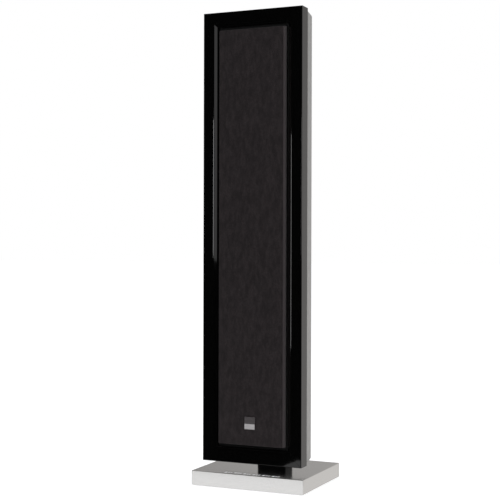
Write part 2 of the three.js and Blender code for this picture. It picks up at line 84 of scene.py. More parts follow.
def make_camera():
    data = bpy.data.cameras.new("camera")
    data.lens = LENS_MM
    data.sensor_width = 36
    camera = linked("camera", data)
    turn = {name: math.radians(angle) for name, angle in CAMERA_TURN.items()}
    camera.matrix_world = (
        Matrix.Translation(CAMERA_PLACE)
        @ Matrix.Rotation(turn["yaw"], 4, "Z")
        @ Matrix.Rotation(math.pi / 2 + turn["pitch"], 4, "X")
        @ Matrix.Rotation(turn["roll"], 4, "Z")
    )
    bpy.context.scene.camera = camera


def make_floor():
    mesh = bpy.data.meshes.new("floor")
    corners = [(x * FLOOR_HALF, y * FLOOR_HALF, 0) for x, y in ((-1, -1), (1, -1), (1, 1), (-1, 1))]
    mesh.from_pydata(corners, [], [(0, 1, 2, 3)])
    grey, white = (0.8, 0.8, 0.8, 1), (1, 1, 1, 1)
    glow = {"emission": white, "emission_strength": 0.62}
    paper = Finish("floor_paper", color=grey, roughness=0.9, specular=0.0, **glow)
    mesh.materials.append(paper.material)
    floor = linked("floor", mesh)
    floor.visible_glossy = False


def area_light(name, place, aim, size, power, glossy=True):
    data = bpy.data.lights.new(name, "AREA")
    data.shape = "RECTANGLE"
    data.size, data.size_y = size
    data.energy = power
    light = linked(name, data)
    direction = Vector(aim) - Vector(place)
    light.location = place
    light.rotation_euler = direction.to_track_quat("-Z", "Y").to_euler()
    light.visible_camera = False
    light.visible_glossy = glossy
    return light


def card_light(name, place, size, brightness, glossy=True):
    """A rectangle of even brightness that lies flat and shines upwards."""
    power = math.pi * size[0] * size[1] * brightness
    light = area_light(name, place, (place[0], place[1], 1), size, power, glossy)
    light.rotation_euler = (math.pi, 0, 0)


def add_node(tree, kind, inputs=(), **settings):
    """A shader node with its settings and inputs. Each input is a value or another node's socket."""
    made = tree.nodes.new(f"ShaderNode{kind}")
    for name, value in settings.items():
        setattr(made, name, value)
    for socket, value in dict(inputs).items():
        if isinstance(value, bpy.types.NodeSocket):
            tree.links.new(value, made.inputs[socket])
        else:
            made.inputs[socket].default_value = value
    return made


def map_range(tree, source, low, high, start, end):
    """Stretches the part of a pattern between start and end to run from low to high."""
    inputs = {"Value": source, "From Min": start, "From Max": end, "To Min": low, "To Max": high}
    return add_node(tree, "MapRange", inputs).outputs["Result"]


def make_world():
    """White for the camera. For the object: pale behind and overhead, dark in front."""
    world = bpy.data.worlds.new("studio")
    bpy.context.scene.world = world
    world.use_nodes = True
    tree = world.node_tree
    tree.nodes.clear()
    where = add_node(tree, "TexCoord").outputs["Generated"]
    path = add_node(tree, "LightPath").outputs

    def background(color, strength):
        return add_node(tree, "Background", {"Color": (*color, 1), "Strength": strength}).outputs[0]

    def glow(direction, start, end, brightness):
        """Light that grows as the direction looked in nears the given one."""
        toward = add_node(tree, "VectorMath", {0: where, 1: direction}, operation="DOT_PRODUCT")
        return map_range(tree, toward.outputs["Value"], 0.004, brightness, start, end)

    def mixed(share, first, second):
        return add_node(tree, "MixShader", {"Fac": share, 1: first, 2: second}).outputs[0]

    behind = glow((0.35, 0.937, -0.6), 0.1, 1.12, 0.8)
    overhead = glow((0, 0.35, 0.94), 0.62, 0.85, 0.5)
    brighter = add_node(tree, "Math", {0: behind, 1: overhead}, operation="MAXIMUM").outputs[0]
    mirrored = background((1, 0.975, 0.95), brighter)
    lighting = mixed(path["Is Diffuse Ray"], mirrored, background((0.96, 0.98, 1.0), 0.55))
    surface = mixed(path["Is Camera Ray"], lighting, background((1, 1, 1), 1.0))
    add_node(tree, "OutputWorld", {"Surface": surface})


def make_studio():
    make_camera()
    make_floor()
    make_world()
    # Soft light that only matt surfaces show.
    area_light("side_fill", (2.6, -1.5, 1.1), (0, 0, 0.6), (1.2, 1.8), 44, glossy=False)
    area_light("front_fill", (-0.6, -3.6, 1.6), (0, 0, 0.5), (2.4, 2.0), 22, glossy=False)
    area_light("top_fill", (0.2, -0.6, 3.2), (0, 0, 0), (2.0, 2.0), 8, glossy=False)
    # Strip lights that the lacquer mirrors: in the left stile's bevel, its edge, and the right bevel.
    area_light("bevel_strip", (1.21, -1.85, 1.10), (-0.09, -0.09, 1.10), (0.42, 1.24), 1.6)
    area_light("edge_strip", (0.29, -2.26, 0.78), (-0.09, -0.09, 0.78), (0.35, 0.56), 6.0)
    area_light("left_strip", (-1.95, -1.30, 0.56), (0.09, -0.09, 0.56), (0.40, 0.90), 8.0)
    # Low cards that face up: the base's front mirrors one, the frame's lower right corner the other.
    card_light("base_card", (-0.03, -0.217, 0.0006), (0.56, 0.205), 1.06)
    card_light("corner_card", (-0.010, -0.395, 0.0006), (0.05, 0.10), 1.1)
    # Light on the shell's underside, which the base's top mirrors.
    card_light("gap_card", (0, -0.025, 0.036), (0.20, 0.05), 1.3, glossy=False)
    bpy.context.scene.view_settings.view_transform = "Standard"
    bpy.context.scene.view_settings.look = "None"


# ---- materials -----------------------------------------------------------------------------------

SOCKETS = {
    "color": "Base Color",
    "metallic": "Metallic",
    "roughness": "Roughness",
    "ior": "IOR",
    "specular": "Specular IOR Level",
    "coat": "Coat Weight",
    "coat_roughness": "Coat Roughness",
    "sheen": "Sheen Weight",
    "sheen_roughness": "Sheen Roughness",
    "emission": "Emission Color",
    "emission_strength": "Emission Strength",
    "normal": "Normal",
}


class Finish:
    """A procedural material, with short names for the nodes that drive its shader."""

    def __init__(self, name, **sockets):
        self.material = bpy.data.materials.new(name)
        self.material.use_nodes = True
        self.tree = self.material.node_tree
        self.shader = self.tree.nodes["Principled BSDF"]
        for socket, value in sockets.items():
            self.shader.inputs[SOCKETS[socket]].default_value = value
        self.place = self.node("TexCoord").outputs["Object"]

    def node(self, kind, inputs=(), **settings):
        return add_node(self.tree, kind, inputs, **settings)

    def drive(self, **sources):
        """Links patterns to the shader's sockets, and gives back the finished material."""
        for socket, source in sources.items():
            self.tree.links.new(source, self.shader.inputs[SOCKETS[socket]])
        return self.material

    def scaled(self, stretch):
        return self.node("Mapping", {"Scale": stretch, "Vector": self.place}).outputs["Vector"]

    def noise(self, scale, detail=2.0, stretch=(1, 1, 1), grain=0.5):
        size = {"Scale": scale, "Detail": detail, "Roughness": grain}
        return self.node("TexNoise", {**size, "Vector": self.scaled(stretch)}).outputs["Fac"]

    def cells(self, scale, stretch=(1, 1, 1)):
        inputs = {"Scale": scale, "Vector": self.scaled(stretch)}
        return self.node("TexVoronoi", inputs).outputs["Distance"]

    def distance_across(self):
        """The distance from the object's middle plane, in metres."""
        return self.math("ABSOLUTE", self.node("SeparateXYZ", {0: self.place}).outputs["X"])

    def dot(self, a, b):
        return self.node("VectorMath", {0: a, 1: b}, operation="DOT_PRODUCT").outputs["Value"]

    def bands(self, direction, pitch):
        """Waves from -1 to 1 with the given pitch in metres, along a direction (x, y, z)."""
        return self.math("SINE", self.dot(self.place, Vector(direction) * (2 * math.pi / pitch)))

    def math(self, operation, *values):
        return self.node("Math", enumerate(values), operation=operation).outputs[0]

    def spread(self, source, low, high, start=0.3, end=0.7):
        return map_range(self.tree, source, low, high, start, end)

    def blend(self, share, a, b):
        """A colour between a and b. Each is a tuple or another colour's socket."""
        made = self.node("Mix", {"Factor": share}, data_type="RGBA")
        colors = [socket for socket in made.inputs if socket.type == "RGBA"]
        for value, socket in zip((a, b), colors, strict=True):
            if isinstance(value, tuple):
                socket.default_value = (*value, 1)
            else:
                self.tree.links.new(value, socket)
        return next(socket for socket in made.outputs if socket.type == "RGBA")

    def bump(self, height, depth, strength=1.0, after=None):
        """Surface relief of the given depth in metres, on top of another bump's result."""
        inputs = {"Strength": strength, "Distance": depth, "Height": height}
        if after is not None:
            inputs["Normal"] = after
        return self.node("Bump", inputs).outputs["Normal"]

    def edges(self, radius, gain):
        """Up to 1 on sharp edges, 0 elsewhere, broken up by noise."""
        bevelled = self.node("Bevel", {"Radius": radius}, samples=4).outputs[0]
        flat = self.node("NewGeometry").outputs["Normal"]
        off = self.math("SUBTRACT", 1.0, self.dot(bevelled, flat))
        worn = self.math("MULTIPLY", off, self.spread(self.noise(160), 0.2, 1.0))
        return self.node("Clamp", {"Value": self.math("MULTIPLY", worn, gain)}).outputs[0]


def gloss_black():
    """Deep black lacquer: smooth, with a slight ripple and fine dust."""
    finish = Finish("gloss_black_lacquer", ior=1.48)
    dust = finish.spread(finish.noise(420, 4), 0.0, 1.0, 0.56, 0.75)
    return finish.drive(
        color=finish.blend(dust, (0.0006, 0.0006, 0.0006), (0.0025, 0.0025, 0.0025)),
        roughness=finish.spread(finish.noise(9, 4), 0.03, 0.06),
        normal=finish.bump(finish.noise(110, 2), 0.00002),
    )


def grille_weave():
    """Black woven grille cloth with a mottled yarn, painted paler down the grille's sides as a painted
    highlight for the light that falls on them.
    """
    finish = Finish("grille_cloth_weave", roughness=0.92, specular=0.1, sheen=0.05, sheen_roughness=0.5)
    warp, weft = [finish.bands(direction, 0.0021) for direction in ((1, 1, 0), (0, 0, 1))]
    crossing = finish.spread(finish.math("MULTIPLY", warp, weft), 0.0, 1.0, -1.0, 1.0)
    yarn = finish.blend(crossing, (0.0042, 0.0033, 0.0035), (0.0138, 0.0108, 0.0114))
    mottle = finish.spread(finish.noise(430, 3, grain=0.7), 0.0, 1.0, 0.36, 0.66)
    cloth = finish.blend(mottle, yarn, (0.0158, 0.0127, 0.0133))
    streaks = finish.spread(finish.noise(120, 3, stretch=(1, 1, 0.4), grain=0.6), 0.0, 0.75, 0.36, 0.64)
    cloth = finish.blend(streaks, cloth, (0.0058, 0.0046, 0.0049))
    # Painted highlight: the cloth's sides get a paler colour that stands for the side light falling on them.
    sides = finish.spread(finish.distance_across(), 0.0, 1.0, 0.0772, 0.0784)
    relief = finish.bump(crossing, 0.00035, 0.9)
    return finish.drive(
        color=finish.blend(sides, cloth, (0.036, 0.030, 0.0315)),
        normal=finish.bump(mottle, 0.0002, 0.6, relief),
    )


def shell_paint():
    """Silver-grey paint with fine metal flakes and a satin, slightly rippled top coat."""
    finish = Finish("silver_grey_shell_paint", metallic=0.28, coat=0.12, coat_roughness=0.2)
    flake = finish.spread(finish.noise(5200, 1), 0.0, 1.0, 0.42, 0.62)
    paint = finish.blend(flake, (0.204, 0.202, 0.199), (0.292, 0.289, 0.284))
    cloud = finish.spread(finish.noise(5, 3), 0.0, 0.25)
    paint = finish.blend(cloud, paint, (0.236, 0.234, 0.229))
    return finish.drive(
        color=finish.blend(finish.edges(0.0008, 2.0), paint, (0.42, 0.42, 0.41)),
        roughness=finish.spread(finish.noise(60, 3), 0.34, 0.44),
        normal=finish.bump(finish.noise(900, 2), 0.00003),
    )


def satin_metal():
    """The base plate's metal: fine brushing along its width, brighter on the worn edges."""
    finish = Finish("satin_base_metal", metallic=1.0)
    brushing = finish.noise(60, 4, stretch=(0.6, 40, 40), grain=0.7)
    tone = finish.spread(brushing, 0.0, 1.0, 0.3, 0.7)
    metal = finish.blend(tone, (0.615, 0.61, 0.605), (0.708, 0.703, 0.698))
    return finish.drive(
        color=finish.blend(finish.edges(0.0012, 3.0), metal, (0.9, 0.9, 0.9)),
        roughness=finish.spread(brushing, 0.11, 0.17),
        normal=finish.bump(brushing, 0.00002, 0.5),
    )


def powder_coat(name, tone):
    """Satin black powder coat with a fine orange-peel."""
    finish = Finish(name, specular=0.12)
    base = (tone, tone, tone * 1.03)
    worn = (tone * 5, tone * 5, tone * 5)
    return finish.drive(
        color=finish.blend(finish.edges(0.0006, 1.6), base, worn),
        roughness=finish.spread(finish.noise(90, 3), 0.42, 0.56),
        normal=finish.bump(finish.noise(1500, 3), 0.00006),
    )


def moulded(name, color, rough=(0.4, 0.55), grain=2400, depth=0.00004):
    """Moulded plastic or rubber with a fine spark-eroded texture."""
    finish = Finish(name)
    pale = tuple(min(1.0, channel * 1.7 + 0.004) for channel in color)
    return finish.drive(
        color=finish.blend(finish.spread(finish.noise(35, 4), 0.0, 0.4), color, pale),
        roughness=finish.spread(finish.noise(220, 3), *rough),
        normal=finish.bump(finish.noise(grain, 2), depth),
    )


def machined(name, low, high, rough=(0.22, 0.38)):
    """Bare or plated metal with fine tool marks."""
    finish = Finish(name, metallic=1.0)
    marks = finish.noise(700, 3)
    return finish.drive(
        color=finish.blend(finish.spread(marks, 0.0, 1.0), low, high),
        roughness=finish.spread(finish.noise(45, 4), *rough),
        normal=finish.bump(marks, 0.00002),
    )


def brushed(name, low, high):
    """Anodised metal brushed along its width, duller than bare metal."""
    finish = Finish(name, metallic=0.2)
    brushing = finish.noise(900, 3, stretch=(0.05, 1, 1))
    return finish.drive(
        color=finish.blend(finish.spread(brushing, 0.0, 1.0), low, high),
        roughness=finish.spread(brushing, 0.42, 0.3),
        normal=finish.bump(brushing, 0.00002),
    )


def pulp(name, color):
    """Pressed cone fibre: matted, with pale threads in it."""
    finish = Finish(name, specular=0.3)
    fibre = finish.spread(finish.noise(700, 5, stretch=(1, 1, 2.5), grain=0.75), 0.0, 1.0, 0.5, 0.72)
    pale = tuple(channel * 3.2 for channel in color)
    return finish.drive(
        color=finish.blend(fibre, color, pale),
        roughness=finish.spread(fibre, 0.75, 0.5, 0.0, 1.0),
        normal=finish.bump(finish.noise(1100, 3), 0.0001),
    )


def foam_cells(name, color):
    """Open foam: small round cells."""
    finish = Finish(name, roughness=0.95, specular=0.1)
    cells = finish.spread(finish.cells(900), 0.0, 1.0, 0.1, 0.7)
    pale = tuple(channel * 2.4 for channel in color)
    return finish.drive(color=finish.blend(cells, color, pale), normal=finish.bump(cells, 0.0004))


def circuit_board():
    """Green solder mask over copper areas, which show as paler patches."""
    finish = Finish("circuit_board", roughness=0.35, coat=0.3)
    copper = finish.spread(finish.cells(70, (1, 1, 0.6)), 0.0, 1.0, 0.48, 0.5)
    green = finish.blend(copper, (0.012, 0.1, 0.035), (0.03, 0.2, 0.07))
    return finish.drive(color=green, normal=finish.bump(copper, 0.00003))


def wound_copper():
    """Enamelled copper wire in fine turns."""
    finish = Finish("enamelled_copper", metallic=0.9, roughness=0.32)
    turns = finish.spread(finish.bands((0, 1, 0), 0.0016), 0.0, 1.0, -1.0, 1.0)
    metal = finish.blend(turns, (0.2, 0.05, 0.015), (0.6, 0.21, 0.08))
    return finish.drive(color=metal, normal=finish.bump(turns, 0.0004))


FINISH = {
    "lacquer": gloss_black(),
    "weave": grille_weave(),
    "shell": shell_paint(),
    "base": satin_metal(),
    "powder": powder_coat("black_powder_coat", 0.0018),
    "baffle": powder_coat("baffle_paint", 0.006),
    "black_plastic": moulded("black_moulded_plastic", (0.01, 0.01, 0.0105)),
    "rubber": moulded("black_rubber", (0.006, 0.006, 0.006), (0.6, 0.8), 1500, 0.00008),
    "red_plastic": moulded("red_moulded_plastic", (0.35, 0.012, 0.01)),
    "wire": moulded("wire_insulation", (0.011, 0.011, 0.012), (0.35, 0.5)),
    "wire_red": moulded("red_wire_insulation", (0.28, 0.01, 0.008), (0.35, 0.5)),
    "cast": powder_coat("cast_chassis_paint", 0.014),
    "cone": pulp("cone_fibre", (0.0105, 0.011, 0.0125)),
    "spider": pulp("spider_cloth", (0.16, 0.1, 0.03)),
    "foam": foam_cells("grey_foam", (0.02, 0.02, 0.022)),
    "steel": machined("zinc_plated_steel", (0.3, 0.3, 0.31), (0.48, 0.48, 0.49)),
    "black_steel": machined("blackened_steel", (0.02, 0.02, 0.021), (0.05, 0.05, 0.052)),
    "ferrite": moulded("ferrite", (0.03, 0.03, 0.031), (0.6, 0.75), 800, 0.0001),
    "dome": machined("anodised_dome", (0.46, 0.46, 0.47), (0.6, 0.6, 0.61), (0.16, 0.26)),
    "gold": machined("gold_plating", (0.62, 0.38, 0.1), (0.78, 0.52, 0.17), (0.12, 0.24)),
    "badge_dark": brushed("badge_dark_metal", (0.034, 0.030, 0.031), (0.056, 0.051, 0.052)),
    "badge_light": brushed("badge_light_metal", (0.20, 0.190, 0.193), (0.31, 0.300, 0.302)),
    "mark_paint": moulded("white_mark_paint", (0.85, 0.85, 0.85), (0.4, 0.6)),
    "board": circuit_board(),
    "copper": wound_copper(),
}

# ---- mesh helpers --------------------------------------------------------------------------------


def shade(mesh, crease=35.0):
    mesh.polygons.foreach_set("use_smooth", [True] * len(mesh.polygons))
    mesh.set_sharp_from_angle(angle=math.radians(crease))
    mesh.update()


def level_normals(made):
    """Keeps broad flat faces flat right up to their rounded rims."""
    modifier = made.modifiers.new("level_normals", "WEIGHTED_NORMAL")
    modifier.mode = "FACE_AREA"
    modifier.weight = 100
    modifier.keep_sharp = True


def settle(piece, body, node=None):
    """The piece rides on a body, and may stand for a CAD node, which it hides."""
    if body:
        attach(piece, body)
    if node:
        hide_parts(node)


def made_object(name, bm, finish, body=None, node=None, crease=35.0):
    """Turns a bmesh into a named, smooth-shaded object."""
    bmesh.ops.recalc_face_normals(bm, faces=bm.faces)
    mesh = bpy.data.meshes.new(name)
    bm.to_mesh(mesh)
    bm.free()
    mesh.materials.append(FINISH[finish])
    shade(mesh, crease)
    made = linked(name, mesh)
    if body:
        level_normals(made)
    settle(made, body, node)
    return made


def softened(outline, radius, steps=4):
    """A closed outline of 2-D points with its corners rounded."""
    result = []
    for i, point in enumerate(outline):
        here = Vector(point)
        before = Vector(outline[i - 1]) - here
        after = Vector(outline[(i + 1) % len(outline)]) - here
        reach = min(radius, 0.45 * before.length, 0.45 * after.length)
        start = here + before.normalized() * reach
        end = here + after.normalized() * reach
        if before.normalized().dot(after.normalized()) < -0.995:
            result.append(tuple(here))
            continue
        for k in range(steps + 1):
            t = k / steps
            result.append(tuple(start * (1 - t) ** 2 + here * 2 * t * (1 - t) + end * t**2))
    return result


def thickened(top, thickness):
    """Closes an open outline of (radius, depth) points with a copy of itself that lies deeper."""
    return [*top, *[(radius, depth + thickness) for radius, depth in reversed(top)]]


def circle(sides, radius, centre=(0.0, 0.0)):
    """(a, b) points spaced evenly round a centre."""
    angles = [2 * math.pi * k / sides for k in range(sides)]
    return [(centre[0] + radius * math.cos(a), centre[1] + radius * math.sin(a)) for a in angles]


def add_loft(bm, rings, closed=False):
    """Skins rings of equally many points, and caps the ends unless the last joins the first."""
    rows = [[bm.verts.new(point) for point in ring] for ring in rings]
    pairs = list(zip(rows, rows[1:], strict=False))
    if closed:
        pairs.append((rows[-1], rows[0]))
    for first, second in pairs:
        add_band(bm, first, second)
    if not closed:
        for cap in (rows[0], rows[-1]):
            bmesh.ops.triangulate(bm, faces=[bm.faces.new(cap)])


def loft(name, rings, finish, body=None, node=None, slot=None, crease=35.0, closed=False):
    """A piece skinned over rings of points in metres."""
    bm = bmesh.new()
    add_loft(bm, rings, closed)
    return made_object(name, bm, finish, body, node, crease)


def add_band(bm, first, second):
    """Faces between two closed rows of equally many vertices."""
    for i, here in enumerate(first):
        j = (i + 1) % len(first)
        bm.faces.new((here, first[j], second[j], second[i]))


def add_lathe(bm, outline, centre, segments=96):
    """A closed outline of (radius, y) turned about an axis along Y through centre = (x, z)."""
    rows = []
    for radius, y in outline:
        points = circle(segments, radius, centre) if radius >= 1e-7 else [centre]
        rows.append([bm.verts.new((x, y, z)) for x, z in points])
    for first, second in zip(rows, rows[1:] + rows[:1], strict=True):
        if len(first) > 1 and len(second) > 1:
            add_band(bm, first, second)
        elif len(first) != len(second):
            for k in range(segments):
                j = (k + 1) % segments
                if len(first) == 1:
                    bm.faces.new((first[0], second[j], second[k]))
                else:
                    bm.faces.new((first[k], first[j], second[0]))


def in_mm(outline):
    """(radius, depth) in millimetres to (radius, y) in metres."""
    return [(radius * MM, FRONT_Y + depth * MM) for radius, depth in outline]


def lathe(name, outline, finish, body, centre, node=None, slot=None, segments=96, crease=35.0):
    """A turned piece. The outline is (radius, depth) in mm."""
    bm = bmesh.new()
    add_lathe(bm, in_mm(outline), centre, segments)
    return made_object(name, bm, finish, body, node, crease)


def upright_lathe(name, profile, node, finish):
    """A turned piece that stands upright in a node's middle. The profile is (radius, z) in metres."""
    low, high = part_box(node)
    bm = bmesh.new()
    add_lathe(bm, profile, (0, 0), 64)
    middle = Matrix.Translation(((low.x + high.x) / 2, (low.y + high.y) / 2, 0))
    bmesh.ops.transform(bm, matrix=middle @ Matrix.Rotation(math.pi / 2, 4, "X"), verts=bm.verts)
    return made_object(name, bm, finish, "speaker", node)


def rounded_rectangle(half_x, half_z, radius, steps=6):
    points = []
    for corner in range(4):
        sign_x = 1 if corner in (0, 3) else -1
        sign_z = 1 if corner < 2 else -1
        for k in range(steps + 1):
            angle = (corner + k / steps) * math.pi / 2
            x = sign_x * (half_x - radius) + radius * math.cos(angle)
            points.append((x, sign_z * (half_z - radius) + radius * math.sin(angle)))
    return points


def add_plate(bm, low, high, radius, edge, axis="Y", steps=5):
    """A plate with rounded corners and rounded rims. Its thickness runs along axis."""
    low, high = Vector(low), Vector(high)
    middle, half = (low + high) / 2, (high - low) / 2
    u, v, w = {"X": (1, 2, 0), "Y": (0, 2, 1), "Z": (0, 1, 2)}[axis]
    turns = [(k / 3) * math.pi / 2 for k in range(4)]
    rim = [(edge * (1 - math.sin(a)), edge * (1 - math.cos(a))) for a in turns]
    levels = [(back_off - half[w], inset) for back_off, inset in reversed(rim)]
    levels += [(half[w] - back_off, inset) for back_off, inset in rim]
    rings = []
    for level, inset in levels:
        ring = []
        corner = max(radius - inset, 1e-5)
        for a, b in rounded_rectangle(half[u] - inset, half[v] - inset, corner, steps):
            point = Vector()
            point[u], point[v], point[w] = a, b, level
            ring.append(middle + point)
        rings.append(ring)
    add_loft(bm, rings)


def plate(name, box, radius, edge, finish, body=None, node=None, slot=None, axis="Y"):
    """A plate that fills a box, with its corner and rim radius in mm."""
    bm = bmesh.new()
    add_plate(bm, *box, radius * MM, edge * MM, axis)
    return made_object(name, bm, finish, body, node)


def carve(target, cutters, operation="DIFFERENCE"):
    """Cuts the cutters out of target's mesh, or joins them to it, and removes them."""
    for cutter in cutters:
        modifier = target.modifiers.new("cut", "BOOLEAN")
        modifier.operation = operation
        modifier.solver = "EXACT"
        modifier.object = cutter
    graph = bpy.context.evaluated_depsgraph_get()
    mesh = bpy.data.meshes.new_from_object(target.evaluated_get(graph))
    target.modifiers.clear()
    target.data = mesh
    for cutter in cutters:
        bpy.data.objects.remove(cutter)
    shade(mesh)
    level_normals(target)


def bore(radius, start, end, centre, segments=64):
    """A round cutter along Y, from one depth to another."""
    outline = [(0, start), (radius, start), (radius, end), (0, end)]
    return lathe("cutter", outline, "steel", None, centre, segments=segments)


def cutter_box(low, high, radius, axis="Y"):
    return plate("cutter", (low, high), radius, 0.01, "steel", axis=axis)


SCREW_RIM = ((1.0, 0.0), (1.0, 0.45), (0.97, 0.7), (0.9, 0.88), (0.8, 1.0))


def add_screw(bm, place, out, radius, height, socket=0.45, sides=32):
    """A round-headed socket screw seen from outside: a rounded rim, a flat top and a hex socket."""
    out = Vector(out).normalized()
    side = out.orthogonal().normalized()
    up = out.cross(side)
    sixth = math.pi / 3

    def ring(share, lift, hexagonal=False):
        points = []
        for k in range(sides):
            angle = 2 * math.pi * k / sides
            reach = radius * share
            if hexagonal:
                reach *= math.cos(sixth / 2) / math.cos(angle % sixth - sixth / 2)
            outwards = (side * math.cos(angle) + up * math.sin(angle)) * reach
            points.append(Vector(place) + out * (height * lift) + outwards)
        return points

    rings = [ring(share, lift) for share, lift in SCREW_RIM]
    rings += [ring(socket + 0.06, 1.0), ring(socket, 0.94, True), ring(socket, 0.35, True)]
    add_loft(bm, rings)


def screws(name, places, out, radius, height, finish="black_steel"):
    """Equal screws at several places, as one piece on the cabinet. Radius and height are in mm."""
    bm = bmesh.new()
    for place in places:
        add_screw(bm, place, out, radius * MM, height * MM)
    made_object(name, bm, finish, "speaker")


def moving_frames(points, normal):
    """For each point of a path: the point, and two directions across the path that never twist."""
    frames = []
    for i, point in enumerate(points):
        ahead = points[min(i + 1, len(points) - 1)]
        tangent = (ahead - points[max(i - 1, 0)]).normalized()
        normal = (normal - tangent * normal.dot(tangent)).normalized()
        frames.append((point, normal.copy(), tangent.cross(normal)))
    return frames


def tube_along(bm, points, radius, sides):
    """A round tube through the points of a path, with closed ends."""
    start = (points[1] - points[0]).orthogonal().normalized()
    rings = []
    for point, normal, other in moving_frames(points, start):
        rings.append([point + normal * u + other * v for u, v in circle(sides, radius)])
    add_loft(bm, rings)


def smooth_path(points, steps):
    """A Catmull-Rom curve through the points."""
    result = []
    for i in range(len(points) - 1):
        a = points[max(i - 1, 0)]
        b, c = points[i], points[i + 1]
        d = points[min(i + 2, len(points) - 1)]
        for k in range(steps):
            t = k / steps
            bend = (2 * a - 5 * b + 4 * c - d) * t**2 + (3 * b - a - 3 * c + d) * t**3
            result.append(0.5 * (2 * b + (c - a) * t + bend))
    result.append(points[-1])
    return result


def centre_of(node):
    """The middle of a node's box, as (x, z)."""
    low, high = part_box(node)
    return ((low.x + high.x) / 2, (low.z + high.z) / 2)


def finish_node(name, finish, bevel):
    """Gives a CAD node that stays its material and softened edges, bevel mm wide."""
    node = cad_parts[name]
    node.data.materials.clear()
    node.data.materials.append(FINISH[finish])
    modifier = node.modifiers.new("soft_edges", "BEVEL")
    modifier.width = bevel * MM
    modifier.segments = 2
    modifier.limit_method = "ANGLE"
    modifier.angle_limit = math.radians(30)
    modifier.harden_normals = True


# ---- cabinet -------------------------------------------------------------------------------------

# Lengths in mm. The rail's outline is (distance in from the frame's edge, depth).
CABINET_HALF = (120, 505)
RAIL_OUTLINE = (
    (0.9, 0), (25, 0), (34, 5.5), (34, 15.7), (31, 15.7), (31, 7),
    (23.5, 3), (3, 3), (3, 34), (0, 34), (0, 0.9),
)
LACQUER = 0.15
MITRE_EASE = 0.25
MITRE_GAP = 0.04
PEG_HEIGHTS = (120, 555, 945)
SHELL_FRONT, SHELL_BACK = 34.3, 93
SHELL_ROUND_START = 86.4
SHELL_WALL = 4
SHELL_SCREW_HEIGHTS = (22, 330, 640, 988)
SHELL_SINK_FLOOR = 91.4
WADDING_COLUMNS, WADDING_ROWS = 56, 64
WADDING_PITCH = 30 * MM


def shrunk(outline, amount):
    """A counterclockwise outline moved inwards by the amount, point by point."""
    result = []
    for i, point in enumerate(outline):
        ahead = Vector(outline[(i + 1) % len(outline)])
        along = (ahead - Vector(outline[i - 1])).normalized()
        result.append((point[0] - along.y * amount, point[1] + along.x * amount))
    return result


def frame_rails():
    """The four lacquered rails: one rounded profile each, cut at 45 degrees at both ends."""
    low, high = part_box("frame_left_stile")
    half_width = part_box("frame_bottom_rail")[1].x + LACQUER * MM
    half_height = (high.z - low.z) / 2 + LACQUER * MM
    middle = Matrix.Translation((0, FRONT_Y, (low.z + high.z) / 2))
    outline = softened(RAIL_OUTLINE, 2.2, 5)
    eased = shrunk(outline, MITRE_EASE)
    ends = [(-1, eased, 0), (-1, outline, MITRE_EASE), (1, outline, MITRE_EASE), (1, eased, 0)]
    rails = [
        ("bottom_rail", half_width, half_height, 0),
        ("left_stile", half_height, half_width, 90),
        ("top_rail", half_width, half_height, 180),
        ("right_stile", half_height, half_width, -90),
    ]
    for name, half_length, reach, angle in rails:
        turn = middle @ Matrix.Rotation(math.radians(angle), 4, "Y")
        rings = []
        for end, shape, back_off in ends:
            ring = []
            for inward, depth in shape:
                along = end * (half_length - (inward + back_off + MITRE_GAP) * MM)
                ring.append(turn @ Vector((along, depth * MM, inward * MM - reach)))
            rings.append(ring)
        loft(f"lacquered_{name}", rings, "lacquer", "speaker", f"frame_{name}", "gloss_frame")


def seat_cutters(centre, rebate, floor, hole):
    """Cutters for a round rebate down to a floor in the baffle, and for the hole behind it."""
    return [bore(rebate, 10, floor, centre, 96), bore(hole, 12, 40, centre, 96)]


def peg_centres():
    """(x, z) of the six pegs: two in each of three rows."""
    return [(x * MM, CABINET_Z + height * MM) for height in PEG_HEIGHTS for x in (-75, 75)]


def baffle():
    """The baffle with round cut-outs, and the rubber sockets that hold the grille's pegs."""
    board = plate("baffle_board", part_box("front_baffle"), 1.5, 0.6, "baffle")
    cutters = []
    for name in CONE_DRIVERS:
        cutters += seat_cutters(centre_of(f"{name}_basket"), 74.6, 19.8, 63.5)
    cutters += seat_cutters(centre_of("tweeter_faceplate"), 36.6, 19.8, 26.5)
    cutters += seat_cutters(centre_of("port_tube"), 34.6, 18.3, 26)
    cutters += [bore(3.5, 10, 27, centre, 32) for centre in peg_centres()]
    carve(board, cutters)
    settle(board, "speaker", "front_baffle")

    socket = softened([(3.6, 15.25), (6.2, 15.25), (6.2, 15.9), (3.6, 15.9)], 0.25, 3)
    bm = bmesh.new()
    for centre in peg_centres():
        add_lathe(bm, in_mm(socket), centre, 40)
    made_object("grille_sockets", bm, "rubber", "speaker")


def shell_ring(depth, inset, radius):
    """The rear shell's outline at a depth, moved inwards by the inset. It tapers to the back."""
    share = (depth - SHELL_FRONT) / (SHELL_BACK - SHELL_FRONT)
    half_x = (CABINET_HALF[0] - 2.5 - 10 * share - inset) * MM
    half_z = (CABINET_HALF[1] - 1.5 - 1.5 * share - inset) * MM
    low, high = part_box("rear_shell")
    middle_z = (low.z + high.z) / 2
    points = rounded_rectangle(half_x, half_z, radius * MM, 8)
    return [Vector((x, FRONT_Y + depth * MM, middle_z + z)) for x, z in points]


